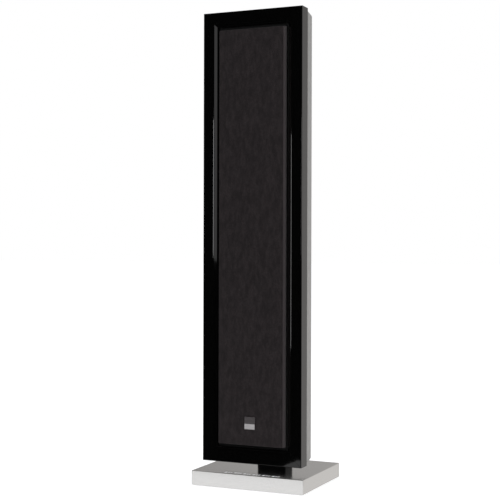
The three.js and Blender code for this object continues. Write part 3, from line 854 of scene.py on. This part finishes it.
def rear_shell():
    """The shell: its outer form, with the inner form, an opening and screw sinks cut out of it."""
    outer = [(SHELL_FRONT, 0.35, 4.2), (34.6, 0.05, 4.5), (35.2, 0, 4.6), (60, 0, 6)]
    rings = [shell_ring(*values) for values in (*outer, (SHELL_ROUND_START, 0, 7.4))]
    for k in range(1, 9):
        angle = k / 8 * math.pi / 2
        inset = 6 * (1 - math.cos(angle))
        depth = SHELL_ROUND_START + (SHELL_BACK - SHELL_ROUND_START) * math.sin(angle)
        rings.append(shell_ring(depth, inset, max(7.4 - inset * 0.5, 3)))
    shell = loft("silver_rear_shell", rings, "shell")

    inner = [(30, 0, 3.2), (60, 0, 3.2), (87.5, 0, 4), (89, 1.5, 3)]
    rings = [shell_ring(depth, SHELL_WALL + inset, radius) for depth, inset, radius in inner]
    low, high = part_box("terminal_panel")
    lip = 4.7 * MM
    opening = cutter_box(
        (low.x + lip, FRONT_Y + 80 * MM, low.z + lip),
        (high.x - lip, FRONT_Y + 100 * MM, high.z - lip),
        3,
    )
    centres = [(x * MM, CABINET_Z + z * MM) for z in SHELL_SCREW_HEIGHTS for x in (-94, 94)]
    sinks = [bore(4.2, SHELL_SINK_FLOOR, 95, centre, 32) for centre in centres]
    carve(shell, [loft("cutter", rings, "steel"), opening, *sinks])
    settle(shell, "speaker", "rear_shell")

    places = [(x, FRONT_Y + SHELL_SINK_FLOOR * MM, z) for x, z in centres]
    screws("shell_screws", places, (0, 1, 0), 3.7, 1.2)


def gasket():
    """The foam strip between baffle and shell: a rounded bar bent round the cabinet."""
    low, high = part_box("baffle_gasket")
    middle_z = (low.z + high.z) / 2
    half_x, half_z = high.x, (high.z - low.z) / 2
    width, depth = 3 * MM, high.y - low.y
    rings = []
    for inward, back in softened([(0, 0), (width, 0), (width, depth), (0, depth)], 0.8 * MM, 3):
        corner = max(4 * MM - inward, 1 * MM)
        points = rounded_rectangle(half_x - inward, half_z - inward, corner, 5)
        rings.append([Vector((x, low.y + back, middle_z + z)) for x, z in points])
    strip = loft("foam_gasket", rings, "foam", "speaker", "baffle_gasket", "foam", closed=True)


def damping_pad():
    """A wadding pad on the shell's back: egg-crate bumps on the front, flat behind."""
    low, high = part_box("damping_pad")
    columns, rows, step = WADDING_COLUMNS, WADDING_ROWS, WADDING_ROWS + 1
    turns = 2 * math.pi / WADDING_PITCH
    bm = bmesh.new()
    front, back = [], []
    for i in range(columns + 1):
        x = low.x + (high.x - low.x) * i / columns
        for j in range(rows + 1):
            z = low.z + (high.z - low.z) * j / rows
            swell = min(1.0, min(i, columns - i, j, rows - j) / 3)
            wave = 0.5 + 0.5 * math.sin(turns * x) * math.sin(turns * z)
            y = high.y - (high.y - low.y) * swell * (0.45 + 0.5 * wave)
            front.append(bm.verts.new((x, min(y, high.y - 0.5 * MM), z)))
            back.append(bm.verts.new((x, high.y, z)))
    for i in range(columns):
        for j in range(rows):
            a = i * step + j
            bm.faces.new((front[a], front[a + step], front[a + step + 1], front[a + 1]))
            bm.faces.new((back[a], back[a + 1], back[a + step + 1], back[a + step]))
    border = list(range(step))
    border += [i * step + rows for i in range(1, columns + 1)]
    border += [columns * step + j for j in range(rows - 1, -1, -1)]
    border += [i * step for i in range(columns - 1, 0, -1)]
    for a, b in zip(border, border[1:] + border[:1], strict=True):
        bm.faces.new((front[a], front[b], back[b], back[a]))
    pad = made_object("wadding_pad", bm, "foam", "speaker", "damping_pad", 60)


# ---- drivers -------------------------------------------------------------------------------------

# (radius, depth) in mm.
BASKET_OUTLINE = (
    (66.4, 15.5), (74, 15.5), (74, 19.5), (63, 19.5), (40.3, 49), (39, 53),
    (19, 53), (19, 50), (36.5, 50), (60.2, 17.9), (66.4, 17.9),
)
POLE_OUTLINE = ((0, 53.5), (11.7, 53.5), (11.7, 72), (33, 72), (33, 78), (4, 78), (4, 76), (0, 76))


def cone_driver(name):
    centre = centre_of(f"{name}_basket")
    moving = f"{name}_diaphragm"
    chassis(name, centre)
    magnet_system(name, centre)
    diaphragm(name, centre, moving)
    roll_surround(name, centre, moving)
    spider(name, centre, moving)


def chassis(name, centre):
    """The cast basket: a flange with eight screws, a conical wall with six windows, a rear ring."""
    basket = lathe(f"{name}_chassis", softened(BASKET_OUTLINE, 0.7, 3), "cast", None, centre)
    slots = []
    for k in range(3):
        low = (-13 * MM, FRONT_Y + 26 * MM, -90 * MM)
        high = (13 * MM, FRONT_Y + 45.5 * MM, 90 * MM)
        slot = cutter_box(low, high, 5, "Z")
        slot.data.transform(Matrix.Rotation(math.radians(60 * k + 30), 4, "Y"))
        slot.data.transform(Matrix.Translation((centre[0], 0, centre[1])))
        slots.append(slot)
    carve(basket, slots)
    settle(basket, "speaker", f"{name}_basket")
    screws(f"{name}_screws", ring_places(centre, 70.2, 15.5, 8, 22.5), (0, -1, 0), 2.3, 0.9)


def ring_places(centre, radius, depth, count, start_deg):
    """Points spaced evenly on a circle at a depth, with the first one at the given angle."""
    places = []
    for k in range(count):
        angle = math.radians(start_deg + 360 * k / count)
        x = centre[0] + radius * MM * math.cos(angle)
        z = centre[1] + radius * MM * math.sin(angle)
        places.append((x, FRONT_Y + depth * MM, z))
    return places


def rounded_lathe(outline, radius):
    """Rounds an outline's corners, but not those on the axis, where it may start and end."""
    rounded = softened(outline, radius, 3)
    if outline[0][0] > 0:
        return rounded
    return [outline[0], *[point for point in rounded if point[0] > radius + 0.1], outline[-1]]


def magnet_system(name, centre):
    """The top plate, the magnet, and the pole with the back plate."""
    top_plate = [(14.3, 53.3), (33, 53.3), (33, 58), (14.3, 58)]
    magnet = [(17, 58.1), (36, 58.1), (36, 71.9), (17, 71.9)]
    pieces = [
        ("top_plate", top_plate, "steel", 0.5, None),
        ("magnet_ring", magnet, "ferrite", 1.2, f"{name}_motor"),
        ("pole_and_back_plate", POLE_OUTLINE, "steel", 0.5, None),
    ]
    for piece, outline, finish, radius, node in pieces:
        outline = rounded_lathe(outline, radius)
        lathe(f"{name}_{piece}", outline, finish, "speaker", centre, node, "plated_steel", 72)


def diaphragm(name, centre, moving):
    """The fibre cone with shallow pressed rings, the former, the voice coil and the dust cap."""
    front = []
    for k in range(41):
        t = k / 40
        pressed = 0.28 * math.sin(8 * math.pi * t) * math.sin(math.pi * min(1, t * 1.4))
        front.append((50 - 36.5 * t, 16.2 + 17.2 * t**0.86 + pressed))
    cone = thickened(front, 1.1)
    lathe(f"{name}_fibre_cone", cone, "cone", moving, centre, f"{name}_cone", "cone_paper", 128, 50)

    former = [(12.5, 34.2), (13.1, 34.2), (13.1, 66), (12.5, 66)]
    lathe(f"{name}_coil_former", former, "badge_light", moving, centre, segments=72)
    coil = softened([(13.15, 56), (13.7, 56), (13.7, 65.5), (13.15, 65.5)], 0.2)
    lathe(f"{name}_voice_coil", coil, "copper", moving, centre, segments=72)

    cap = []
    for k in range(25):
        angle = k / 24 * math.pi / 2
        cap.append((21.2 * math.sin(angle), 20.6 + 7.6 * (1 - math.cos(angle))))
    inner = [(max(radius - 0.7, 0), depth + 0.8) for radius, depth in reversed(cap[:-1])]
    cap += [(20.4, 28.6), *inner]
    node = f"{name}_dust_cap"
    lathe(f"{name}_centre_cap", cap, "cone", moving, centre, node, "cone_paper", crease=50)


def weighted_blend(piece, moving, centre, inner, outer):
    """The piece follows the diaphragm at its inner radius and the cabinet at its outer radius."""
    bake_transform(piece, "speaker", moving, (0, 0, centre[1]), (0, 0, centre[1] + 1))
    mesh = piece.data
    shares = []
    for vertex in mesh.vertices:
        radius = math.hypot(vertex.co.x - centre[0], vertex.co.z - centre[1]) / MM
        t = min(max((outer - radius) / (outer - inner), 0.0), 1.0)
        shares.append(t * t * (3 - 2 * t))
    mesh.attributes["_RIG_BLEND"].data.foreach_set("value", shares)


def roll_surround(name, centre, moving):
    """The rubber half roll between the cone's rim and the basket. Its inner land lies on the cone."""
    start, end, land = 51.4, 61.5, 16.05
    top = [(49.2, land)]
    for k in range(23):
        angle = math.pi * k / 22
        radius = (start + end) / 2 - (end - start) / 2 * math.cos(angle)
        top.append((radius, land - 3.9 * math.sin(angle)))
    top.append((66.1, land))
    top = [(radius, depth if radius > 53 else depth - 0.65) for radius, depth in top]
    piece, node = f"{name}_roll_surround", f"{name}_surround"
    roll = lathe(piece, thickened(top, 0.7), "rubber", None, centre, node, "soft_rubber", 128, 50)
    weighted_blend(roll, moving, centre, 51.5, 61.5)


def spider(name, centre, moving):
    """The corrugated cloth disc that centres the coil."""
    start, end, pitch = 13.3, 38, 4.1
    top = []
    for k in range(61):
        radius = start + (end - start) * k / 60
        wave = math.sin((radius - start) * 2 * math.pi / pitch) if 14.5 < radius < 36.5 else 0
        top.append((radius, 44 + 1.1 * wave))
    disc = lathe(f"{name}_spider", thickened(top, 0.5), "spider", None, centre, crease=60)
    weighted_blend(disc, moving, centre, 14.5, 37)


def tweeter():
    """The tweeter: flared faceplate, metal dome, its surround, magnet and back cup."""
    centre = centre_of("tweeter_faceplate")
    face = [(15.2, 18.6)]
    for k in range(13):
        t = k / 12
        face.append((15.4 + 13.2 * t, 18.2 - 2.6 * (1 - (1 - t) ** 2)))
    face += [(35.2, 15.5), (35.8, 15.8), (36, 16.4), (36, 19.5), (15.2, 19.5)]
    looks = ("powder", "speaker", centre, "tweeter_faceplate", "black_plastic")
    lathe("tweeter_flared_plate", face, *looks)
    screws("tweeter_screws", ring_places(centre, 31.6, 15.5, 3, 90), (0, -1, 0), 1.9, 0.7)

    cap_angle = math.radians(62)
    dome = []
    for k in range(21):
        angle = k / 20 * cap_angle
        dome.append((12.5 * math.sin(angle) / math.sin(cap_angle), 14 + 9.4 * (1 - math.cos(angle))))
    inner = [(max(radius - 0.25, 0), depth + 0.3) for radius, depth in reversed(dome)]
    dome += [(12.5, 26.5), (12.2, 26.5), *inner]
    looks = ("dome", "tweeter_diaphragm", centre, "tweeter_dome", "dome_metal")
    lathe("tweeter_metal_dome", dome, *looks, crease=50)

    top = []
    for k in range(13):
        angle = math.pi * k / 12
        top.append((13.75 - 1.15 * math.cos(angle), 19.3 - 0.8 * math.sin(angle)))
    roll = thickened([*top, (15.05, 19.3)], 0.3)
    ring = lathe("tweeter_roll_surround", roll, "rubber", None, centre, crease=50)
    weighted_blend(ring, "tweeter_diaphragm", centre, 12.7, 14.8)

    magnet = [(14.2, 20.2), (24.6, 20.2), (25, 20.6), (25, 32), (14.2, 32)]
    looks = ("ferrite", "speaker", centre, "tweeter_motor", "plated_steel")
    lathe("tweeter_magnet_ring", magnet, *looks, segments=72)
    cup = [(0, 22), (11.2, 22), (11.2, 32.3), (24, 32.3), (25, 33.3), (25, 44), (24, 45), (0, 45)]
    lathe("tweeter_back_cup", cup, "black_plastic", "speaker", centre, segments=72)


def mid_chamber():
    cup = [(77, 31.3), (80, 31.3), (80, 84), (78, 86), (0, 86), (0, 83), (76.6, 83), (77, 82.6)]
    looks = ("black_plastic", "speaker", centre_of("midrange_basket"), "mid_chamber", "black_plastic")
    lathe("midrange_back_chamber", cup, *looks)


def port():
    """The flared port tube."""
    outline = [(34, 15.4), (33.4, 15.2)]
    for k in range(13):
        angle = k / 12 * math.pi / 2
        outline.append((32.2 - 9.7 * math.sin(angle), 15.2 + 9 * (1 - math.cos(angle))))
    outline += [(22.5, 79), (23.2, 80), (25, 80), (25, 18), (34, 18)]
    looks = ("black_plastic", "speaker", centre_of("port_tube"), "port_tube", "black_plastic")
    lathe("flared_port", outline, *looks)


# ---- grille and badge ----------------------------------------------------------------------------

# The cloth's mesh: columns, rows, and steps round each corner. Its edge is the rounding at the rim.
CLOTH_COLUMNS, CLOTH_ROWS, CLOTH_ARC = 26, 120, 4
CLOTH_OFF = 0.55 * MM
CLOTH_EDGE = 1.9 * MM
CLOTH_CORNER = 1.5 * MM
CLOTH_BACK = 14.6 * MM
GRILLE_DRAFT = 2.5 * MM
RIB_HEIGHTS = (150, 390, 555, 711)
HOLLOW = 0.25 * MM


def grille():
    """The moulded grille frame, and the cloth stretched over its front and down its sides."""
    finish_node("grille_frame", "black_plastic", 0.4)
    low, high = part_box("grille_frame")
    front_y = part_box("grille_cloth")[0].y
    middle_z = (low.z + high.z) / 2
    half = (high.x - GRILLE_DRAFT, (high.z - low.z) / 2 - GRILLE_DRAFT)

    def ring(share, inset, y):
        """The cloth's outline. The share is 0 at the frame's narrow front and 1 at its back."""
        grown = GRILLE_DRAFT * share + CLOTH_OFF - inset
        radius = CLOTH_CORNER + (CLOTH_EDGE - inset) * 0.6
        points = cloth_outline(half[0] + grown, half[1] + grown, radius)
        return [Vector((x, y, middle_z + z)) for x, z in points]

    rings = [ring(1.0, 0, FRONT_Y + CLOTH_BACK)]
    rings += [ring(0.6, 0, front_y + 8.5 * MM), ring(0.3, 0, front_y + 4.5 * MM)]
    for k in range(7):
        angle = k / 6 * math.pi / 2
        inset = CLOTH_EDGE * (1 - math.cos(angle))
        back_off = CLOTH_EDGE * (1 - math.sin(angle))
        rings.append(ring(0.16 * (1 - k / 6), inset, front_y + back_off))
    bm = bmesh.new()
    rows = [[bm.verts.new(point) for point in points] for points in rings]
    for first, second in zip(rows, rows[1:], strict=False):
        add_band(bm, first, second)
    inset = CLOTH_OFF - CLOTH_EDGE - CLOTH_CORNER
    fill_front(bm, rows[-1], (half[0] + inset, half[1] + inset), middle_z, front_y)
    cloth = made_object("stretched_cloth", bm, "weave", "grille", "grille_cloth", 60)
    thickness = cloth.modifiers.new("cloth_thickness", "SOLIDIFY")
    thickness.thickness = 0.35 * MM
    thickness.offset = -1
    badge()


def cloth_outline(half_x, half_z, radius):
    """A rounded rectangle with CLOTH_ARC steps to a corner and even steps along its sides."""
    arc = rounded_rectangle(half_x, half_z, radius, CLOTH_ARC)
    points = []
    for corner in range(4):
        steps = CLOTH_COLUMNS if corner % 2 == 0 else CLOTH_ROWS
        first = corner * (CLOTH_ARC + 1)
        points += arc[first : first + CLOTH_ARC + 1]
        start = Vector(points[-1])
        end = Vector(arc[(first + CLOTH_ARC + 1) % len(arc)])
        points += [tuple(start.lerp(end, k / steps)) for k in range(1, steps)]
    return points


def fill_front(bm, rim, half, middle_z, front_y):
    """Fills the rim with a grid that hollows a little between the grille's bars and ribs."""
    ribs = [CABINET_Z + height * MM for height in RIB_HEIGHTS]
    supports = [middle_z - half[1], *ribs, middle_z + half[1]]

    def hollow(x, z):
        across = max(0.0, 1 - (x / half[0]) ** 2)
        for low, high in zip(supports, supports[1:], strict=False):
            if low <= z <= high:
                return HOLLOW * across * math.sin(math.pi * (z - low) / (high - low)) ** 2
        return 0.0

    grid = []
    for i in range(CLOTH_COLUMNS + 1):
        x = half[0] * (1 - 2 * i / CLOTH_COLUMNS)
        column = []
        for j in range(CLOTH_ROWS + 1):
            z = middle_z + half[1] * (1 - 2 * j / CLOTH_ROWS)
            column.append(bm.verts.new((x, front_y + hollow(x, z), z)))
        grid.append(column)
    for i in range(CLOTH_COLUMNS):
        for j in range(CLOTH_ROWS):
            bm.faces.new((grid[i][j], grid[i + 1][j], grid[i + 1][j + 1], grid[i][j + 1]))
    top = [column[0] for column in grid]
    bottom = [column[-1] for column in reversed(grid)]
    place = 0
    for border in (top, grid[-1], bottom, grid[0][::-1]):
        for _ in range(CLOTH_ARC):
            bm.faces.new((rim[place], rim[place + 1], border[0]))
            place += 1
        for first, second in zip(border, border[1:], strict=False):
            after = (place + 1) % len(rim)
            bm.faces.new((rim[place], rim[after], second, first))
            place += 1


def badge():
    """The badge's dark plate, its light upper part and three dots on that."""
    low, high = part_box("badge_plate")
    plate("two_tone_badge", (low, high), 1.2, 0.35, "badge_dark", "grille", "badge_plate", "badge_dark")
    stripe_low, stripe_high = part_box("badge_stripe")
    stripe_high.y = low.y + 0.25 * MM
    box = (stripe_low, stripe_high)
    plate("badge_light_strip", box, 0.6, 0.2, "badge_light", "grille", "badge_stripe", "badge_light")
    middle_z = (stripe_low.z + stripe_high.z) / 2
    dot = 1.6 * MM
    bm = bmesh.new()
    for x in (-6 * MM, 0, 6 * MM):
        dot_low = (x - dot, stripe_low.y - 0.15 * MM, middle_z - dot)
        dot_high = (x + dot, stripe_low.y + 0.1 * MM, middle_z + dot)
        add_plate(bm, dot_low, dot_high, 1.55 * MM, 0.1 * MM)
    made_object("badge_dots", bm, "badge_light", "grille")


# ---- terminals -----------------------------------------------------------------------------------

# (radius, depth) in mm: the binding post's stud, and its screw cap from front to back.
STUD_OUTLINE = (
    (0, 66), (2.6, 66), (3, 66.4), (3, 68), (5.2, 68), (5.5, 68.3), (5.5, 72.4), (5.2, 72.7),
    (3, 72.7), (3, 75.8), (3.4, 75.8), (3.4, 78.3), (6.2, 78.3), (6.5, 78.5), (6.5, 78.8), (3, 78.8),
)
STUD_TIP = ((3.0, 91), (2.6, 92), (2.1, 92), (2.1, 84), (0, 84))
THREAD_DEPTHS = range(79, 91)
CAP_FRONT = ((3.9, 80.6), (7.2, 80.6), (7.8, 81.2), (7.9, 82.2))
CAP_GRIP = ((7.9, 82.8), (7.9, 91.4))
CAP_BACK = ((7.9, 92), (7.7, 93.2), (7.0, 94), (3.9, 94))
FLUTES, FLUTE_DEPTH = 18, 0.45


def post_centres():
    return [centre_of("terminal_post_1"), centre_of("terminal_post_2")]


def corner_places(low, high, y, in_x, in_z):
    """The four corners of a box at one y, moved in by so many mm."""
    across = (low.x + in_x * MM, high.x - in_x * MM)
    return [(x, y, z) for x in across for z in (low.z + in_z * MM, high.z - in_z * MM)]


def terminal_panel():
    """The recessed tray with its rounded flange and corner screws."""
    low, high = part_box("terminal_panel")
    rear = FRONT_Y + 93.3 * MM
    box = ((low.x, rear, low.z), high)
    tray = plate("terminal_tray", box, 5, 0.7, "black_plastic")
    inset = Vector((5 * MM, 0, 5 * MM))
    tub_low, tub_high = low + inset, high - inset
    tub_high.y = rear + 0.5 * MM
    carve(tray, [plate("cutter", (tub_low, tub_high), 3, 0.6, "black_plastic")], "UNION")
    wall = 2.5 * MM
    hollow_low = tub_low + Vector((wall, wall, wall))
    hollow_high = (tub_high.x - wall, high.y + 5 * MM, tub_high.z - wall)
    hollow = cutter_box(hollow_low, hollow_high, 2.4)
    post_holes = [bore(3.4, 70, 77, centre, 40) for centre in post_centres()]
    carve(tray, [hollow, *post_holes])
    settle(tray, "speaker", "terminal_panel")
    screws("terminal_screws", corner_places(low, high, high.y, 2.6, 12), (0, 1, 0), 1.9, 0.8)


def binding_posts():
    """For each post: the stud, a collar, the clamping washer and the screw cap."""
    for number, centre in enumerate(post_centres(), 1):
        tone = "red_plastic" if number == 1 else "black_plastic"
        thread = []
        for depth in THREAD_DEPTHS:
            thread += [(3.0, depth), (2.62, depth + 0.5)]
        stud = [*STUD_OUTLINE, *thread, *STUD_TIP]
        looks = ("gold", "speaker", centre, f"terminal_post_{number}", "gold_plate", 64)
        lathe(f"threaded_stud_{number}", stud, *looks)
        collar = [(3.5, 75.9), (7.4, 75.9), (7.4, 77.6), (6.8, 78.2), (3.5, 78.2)]
        lathe(f"post_collar_{number}", softened(collar, 0.3), tone, "speaker", centre, segments=64)
        washer = softened([(3.4, 79.1), (6.5, 79.1), (6.5, 80.3), (3.4, 80.3)], 0.3)
        name = f"clamp_washer_{number}"
        looks = ("gold", name, centre, f"terminal_washer_{number}", "gold_plate", 64)
        lathe(name, washer, *looks)
        knurled_cap(number, centre, tone)


def knurled_cap(number, centre, tone):
    """A screw cap: a fluted grip between smooth rims, and a gold sleeve in its bore."""
    body = f"clamp_cap_{number}"
    sides = 144
    rows = []
    for radius, depth in (*CAP_FRONT, *CAP_GRIP, *CAP_BACK):
        row = []
        for k in range(sides):
            angle = 2 * math.pi * k / sides
            reach = radius * MM
            if (radius, depth) in CAP_GRIP:
                reach -= FLUTE_DEPTH * MM * (0.5 + 0.5 * math.cos(angle * FLUTES))
            x, z = centre[0] + reach * math.cos(angle), centre[1] + reach * math.sin(angle)
            row.append((x, FRONT_Y + depth * MM, z))
        rows.append(row)
    looks = (tone, body, f"terminal_cap_{number}", "black_plastic", 40)
    loft(f"knurled_cap_{number}", rows, *looks, closed=True)
    sleeve = [(3.4, 80.7), (3.85, 80.7), (3.85, 94), (3.4, 94)]
    lathe(f"cap_sleeve_{number}", sleeve, "gold", body, centre, segments=48)


# ---- stand ---------------------------------------------------------------------------------------

STEEL_WALL = 3 * MM


def mounting_plate():
    low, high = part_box("mounting_plate")
    plate("steel_back_plate", (low, high), 6, 0.4, "steel", "speaker", "mounting_plate", "plated_steel")
    places = []
    for share in (0.04, 0.32, 0.68, 0.96):
        z = low.z + (high.z - low.z) * share
        places += [(x, high.y, z) for x in (low.x + 8 * MM, high.x - 8 * MM)]
    screws("back_plate_screws", places, (0, 1, 0), 3.6, 2)


def folded(name, node, web_y, open_y, bend, heights):
    """A folded steel channel that runs upwards. Its web is at web_y and its legs end at open_y."""
    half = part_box(node)[1].x
    leg = half - STEEL_WALL
    inside = web_y + math.copysign(STEEL_WALL, open_y - web_y)
    outline = [(-half, open_y), (-half, web_y), (half, web_y), (half, open_y)]
    outline += [(leg, open_y), (leg, inside), (-leg, inside), (-leg, open_y)]
    rounded = softened(outline, bend * MM, 5)
    rings = [[Vector((x, y, z)) for x, y in rounded] for z in heights]
    loft(name, rings, "powder", "speaker", node, "column_paint")


def bracket(name):
    """A folded steel bracket with rounded bends and four bolts in its web."""
    low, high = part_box(name)
    heights = (low.z, low.z + 0.4 * MM, high.z - 0.4 * MM, high.z)
    folded(f"folded_{name}", name, high.y, low.y, 2.4, heights)
    middle, y = (low.z + high.z) / 2, high.y - STEEL_WALL
    places = [(x * MM, y, middle + z * MM) for x in (-12, 12) for z in (-16, 16)]
    screws(f"{name}_bolts", places, (0, -1, 0), 4.5, 3.2)


def column():
    """The folded column, its rear cover with a finger notch, its cap, and the block inside its foot."""
    low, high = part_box("column")
    folded("folded_column", "column", low.y, high.y, 1.2, (low.z, high.z))

    low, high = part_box("column_cover")
    cover = plate("column_rear_cover", (low, high), 0.8, 0.5, "black_plastic")
    past = 5 * MM
    notch_low = (-12 * MM, low.y - past, low.z - 9 * MM)
    notch_high = (12 * MM, high.y + past, low.z + 9 * MM)
    groove_low = (low.x + 5 * MM, high.y - 0.6 * MM, low.z + 14 * MM)
    groove_high = (high.x - 5 * MM, high.y + past, high.z - 14 * MM)
    notch = cutter_box(notch_low, notch_high, 8)
    carve(cover, [notch, cutter_box(groove_low, groove_high, 3)])
    settle(cover, "speaker", "column_cover")

    low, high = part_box("column_cap")
    low.z = high.z - 3 * MM
    looks = ("black_plastic", "speaker", "column_cap", "black_plastic")
    plate("column_top_cap", (low, high), 1.2, 0.8, *looks, axis="Z")
    finish_node("column_foot_block", "steel", 0.5)


def upright_rings(middle, sides, radii):
    """Rings that stand over each other, from a list of (z in metres, radius in mm)."""
    rings = []
    for z, radius in radii:
        points = circle(sides, radius * MM, (middle.x, middle.y))
        rings.append([Vector((x, y, z)) for x, y in points])
    return rings


def base():
    """The metal base with crisp rounded rims and a row of plain marks near its front edge."""
    low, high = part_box("base_plate")
    slab = plate("satin_base", (low, high), 1.2, 0.8, "base", axis="Z")
    cutters = []
    for number in (1, 2):
        bolt_low, bolt_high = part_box(f"column_bolt_{number}")
        middle = (bolt_low + bolt_high) / 2
        for radius, top in ((8, 12.3 * MM), (4.4, high.z + 1 * MM)):
            rings = upright_rings(middle, 48, [(-2 * MM, radius), (top, radius)])
            cutters.append(loft("cutter", rings, "steel"))
    carve(slab, cutters)
    settle(slab, "speaker", "base_plate")

    x, y = -58 * MM, low.y + 14 * MM
    bm = bmesh.new()
    for _ in range(6):
        for length in (6, 3, 3):
            mark_low = (x, y - 5 * MM, high.z - 0.05 * MM)
            mark_high = (x + length * MM, y + 5 * MM, high.z + 0.12 * MM)
            add_plate(bm, mark_low, mark_high, 1.4 * MM, 0.05 * MM, "Z", 3)
            x += (length + 2.6) * MM
        x += 3 * MM
    made_object("base_marks", bm, "mark_paint", "speaker")


def base_feet():
    """Round rubber feet with a shallow ring pressed into each underside."""
    for number in (1, 2, 3, 4):
        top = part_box(f"base_pad_{number}")[1].z / MM
        profile = [(0, top), (11.6, top), (12, top - 0.4), (12, 0.6), (11.4, 0), (9.4, 0), (9, 0.5)]
        profile += [(8, 0.5), (7.6, 0), (0, 0)]
        profile = [(radius * MM, z * MM) for radius, z in profile]
        name = f"rubber_foot_{number}"
        upright_lathe(name, profile, f"base_pad_{number}", "rubber")


def column_bolts():
    """Socket-head bolts in the base's underside."""
    for number in (1, 2):
        node = f"column_bolt_{number}"
        low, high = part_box(node)
        middle = (low + high) / 2
        head_top = low.z + 8 * MM
        bm = bmesh.new()
        add_screw(bm, (middle.x, middle.y, head_top), (0, 0, -1), 7 * MM, 8 * MM, 0.5)
        shank = [(head_top - 1 * MM, 4), (high.z - 1 * MM, 4), (high.z, 3.2)]
        add_loft(bm, upright_rings(middle, 32, shank))
        made_object(f"socket_bolt_{number}", bm, "black_steel", "speaker", node)


# ---- crossover and wiring ------------------------------------------------------------------------

# Heights of the resistors above the floor. The loom's route is (x, depth, height in the cabinet) in mm.
RESISTOR_X = (-92 * MM, -74 * MM)
RESISTOR_HEIGHTS = (175 * MM, 200 * MM)
LOOM_ROUTE = (
    (-75, 78, 322), (-84, 80, 345), (-94, 80, 380), (-94, 80, 470), (-94, 80, 560),
    (-94, 80, 660), (-92, 76, 720), (-70, 66, 742), (-32, 60, 748),
)
LOOM_WIRES = 5


def crossover():
    low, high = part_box("crossover_board")
    plate("circuit_board", (low, high), 2, 0.2, "board", "speaker", "crossover_board", "board_green")
    for number in (1, 2):
        air_coil(number)
    capacitors(low.y)
    screws("board_screws", corner_places(low, high, low.y, 6, 6), (0, -1, 0), 3, 2, "steel")


def air_coil(number):
    """An air-cored inductor: wound copper between the rims of a plastic bobbin."""
    node = f"crossover_coil_{number}"
    centre = centre_of(node)
    coil = softened([(9.2, 67.2), (21, 67.2), (21, 83.4), (9.2, 83.4)], 1.5, 5)
    lathe(f"wound_coil_{number}", coil, "copper", "speaker", centre, node, "copper_coil")
    bobbin = [(8, 66), (22, 66), (22, 67), (9, 67), (9, 83.6), (22, 83.6), (22, 84.6), (8, 84.6)]
    lathe(f"coil_bobbin_{number}", bobbin, "black_plastic", "speaker", centre, segments=72)


def capacitors(board_y):
    """A film capacitor with a crimped end, and two resistors beside it."""
    low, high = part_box("crossover_capacitor")
    radius, top = (high.x - low.x) / 2, high.z
    crimp = radius - 0.9 * MM
    profile = [(0, low.z), (radius - 1.5 * MM, low.z), (radius, low.z + 1.5 * MM)]
    profile += [(radius, top - 7 * MM), (crimp, top - 6 * MM), (crimp, top - 5 * MM)]
    profile += [(radius, top - 4 * MM), (radius, top - 1 * MM), (radius - 1 * MM, top), (0, top)]
    upright_lathe("film_capacitor", profile, "crossover_capacitor", "black_plastic")
    for number, z in enumerate(RESISTOR_HEIGHTS, 1):
        box_low = (RESISTOR_X[0], board_y - 9 * MM, z)
        box_high = (RESISTOR_X[1], board_y - 0.2 * MM, z + 9 * MM)
        plate(f"resistor_{number}", (box_low, box_high), 1.2, 0.5, "spider", "speaker")


def wiring():
    """Five insulated wires twisted into one loom, with ties, along the route of the CAD solid."""
    points = [Vector((x * MM, FRONT_Y + y * MM, CABINET_Z + z * MM)) for x, y, z in LOOM_ROUTE]
    frames = moving_frames(smooth_path(points, 12), Vector((0, 1, 0)))
    for k in range(LOOM_WIRES):
        strand = []
        for i, (point, side, other) in enumerate(frames):
            angle = 2 * math.pi * k / LOOM_WIRES + i * 0.22
            strand.append(point + (side * math.cos(angle) + other * math.sin(angle)) * 1.75 * MM)
        bm = bmesh.new()
        tube_along(bm, strand, 1.0 * MM, 8)
        finish = "wire_red" if k % 2 == 0 else "wire"
        node = "wiring_loom" if k == 0 else None
        made_object(f"loom_wire_{k + 1}", bm, finish, "speaker", node, 60)
    bm = bmesh.new()
    for point, side, other in frames[12 : len(frames) - 6 : 14]:
        loop = [point + side * u + other * v for u, v in circle(24, 3.1 * MM)]
        tube_along(bm, loop, 0.5 * MM, 6)
    made_object("loom_ties", bm, "black_plastic", "speaker", crease=60)


# ---- assembly ------------------------------------------------------------------------------------

make_studio()
frame_rails()
baffle()
rear_shell()
gasket()
damping_pad()
finish_node("shell_brace", "baffle", 0.6)
for driver in CONE_DRIVERS:
    cone_driver(driver)
tweeter()
mid_chamber()
port()
grille()
terminal_panel()
binding_posts()
mounting_plate()
bracket("bracket_lower")
bracket("bracket_upper")
column()
base()
base_feet()
column_bolts()
crossover()
wiring()
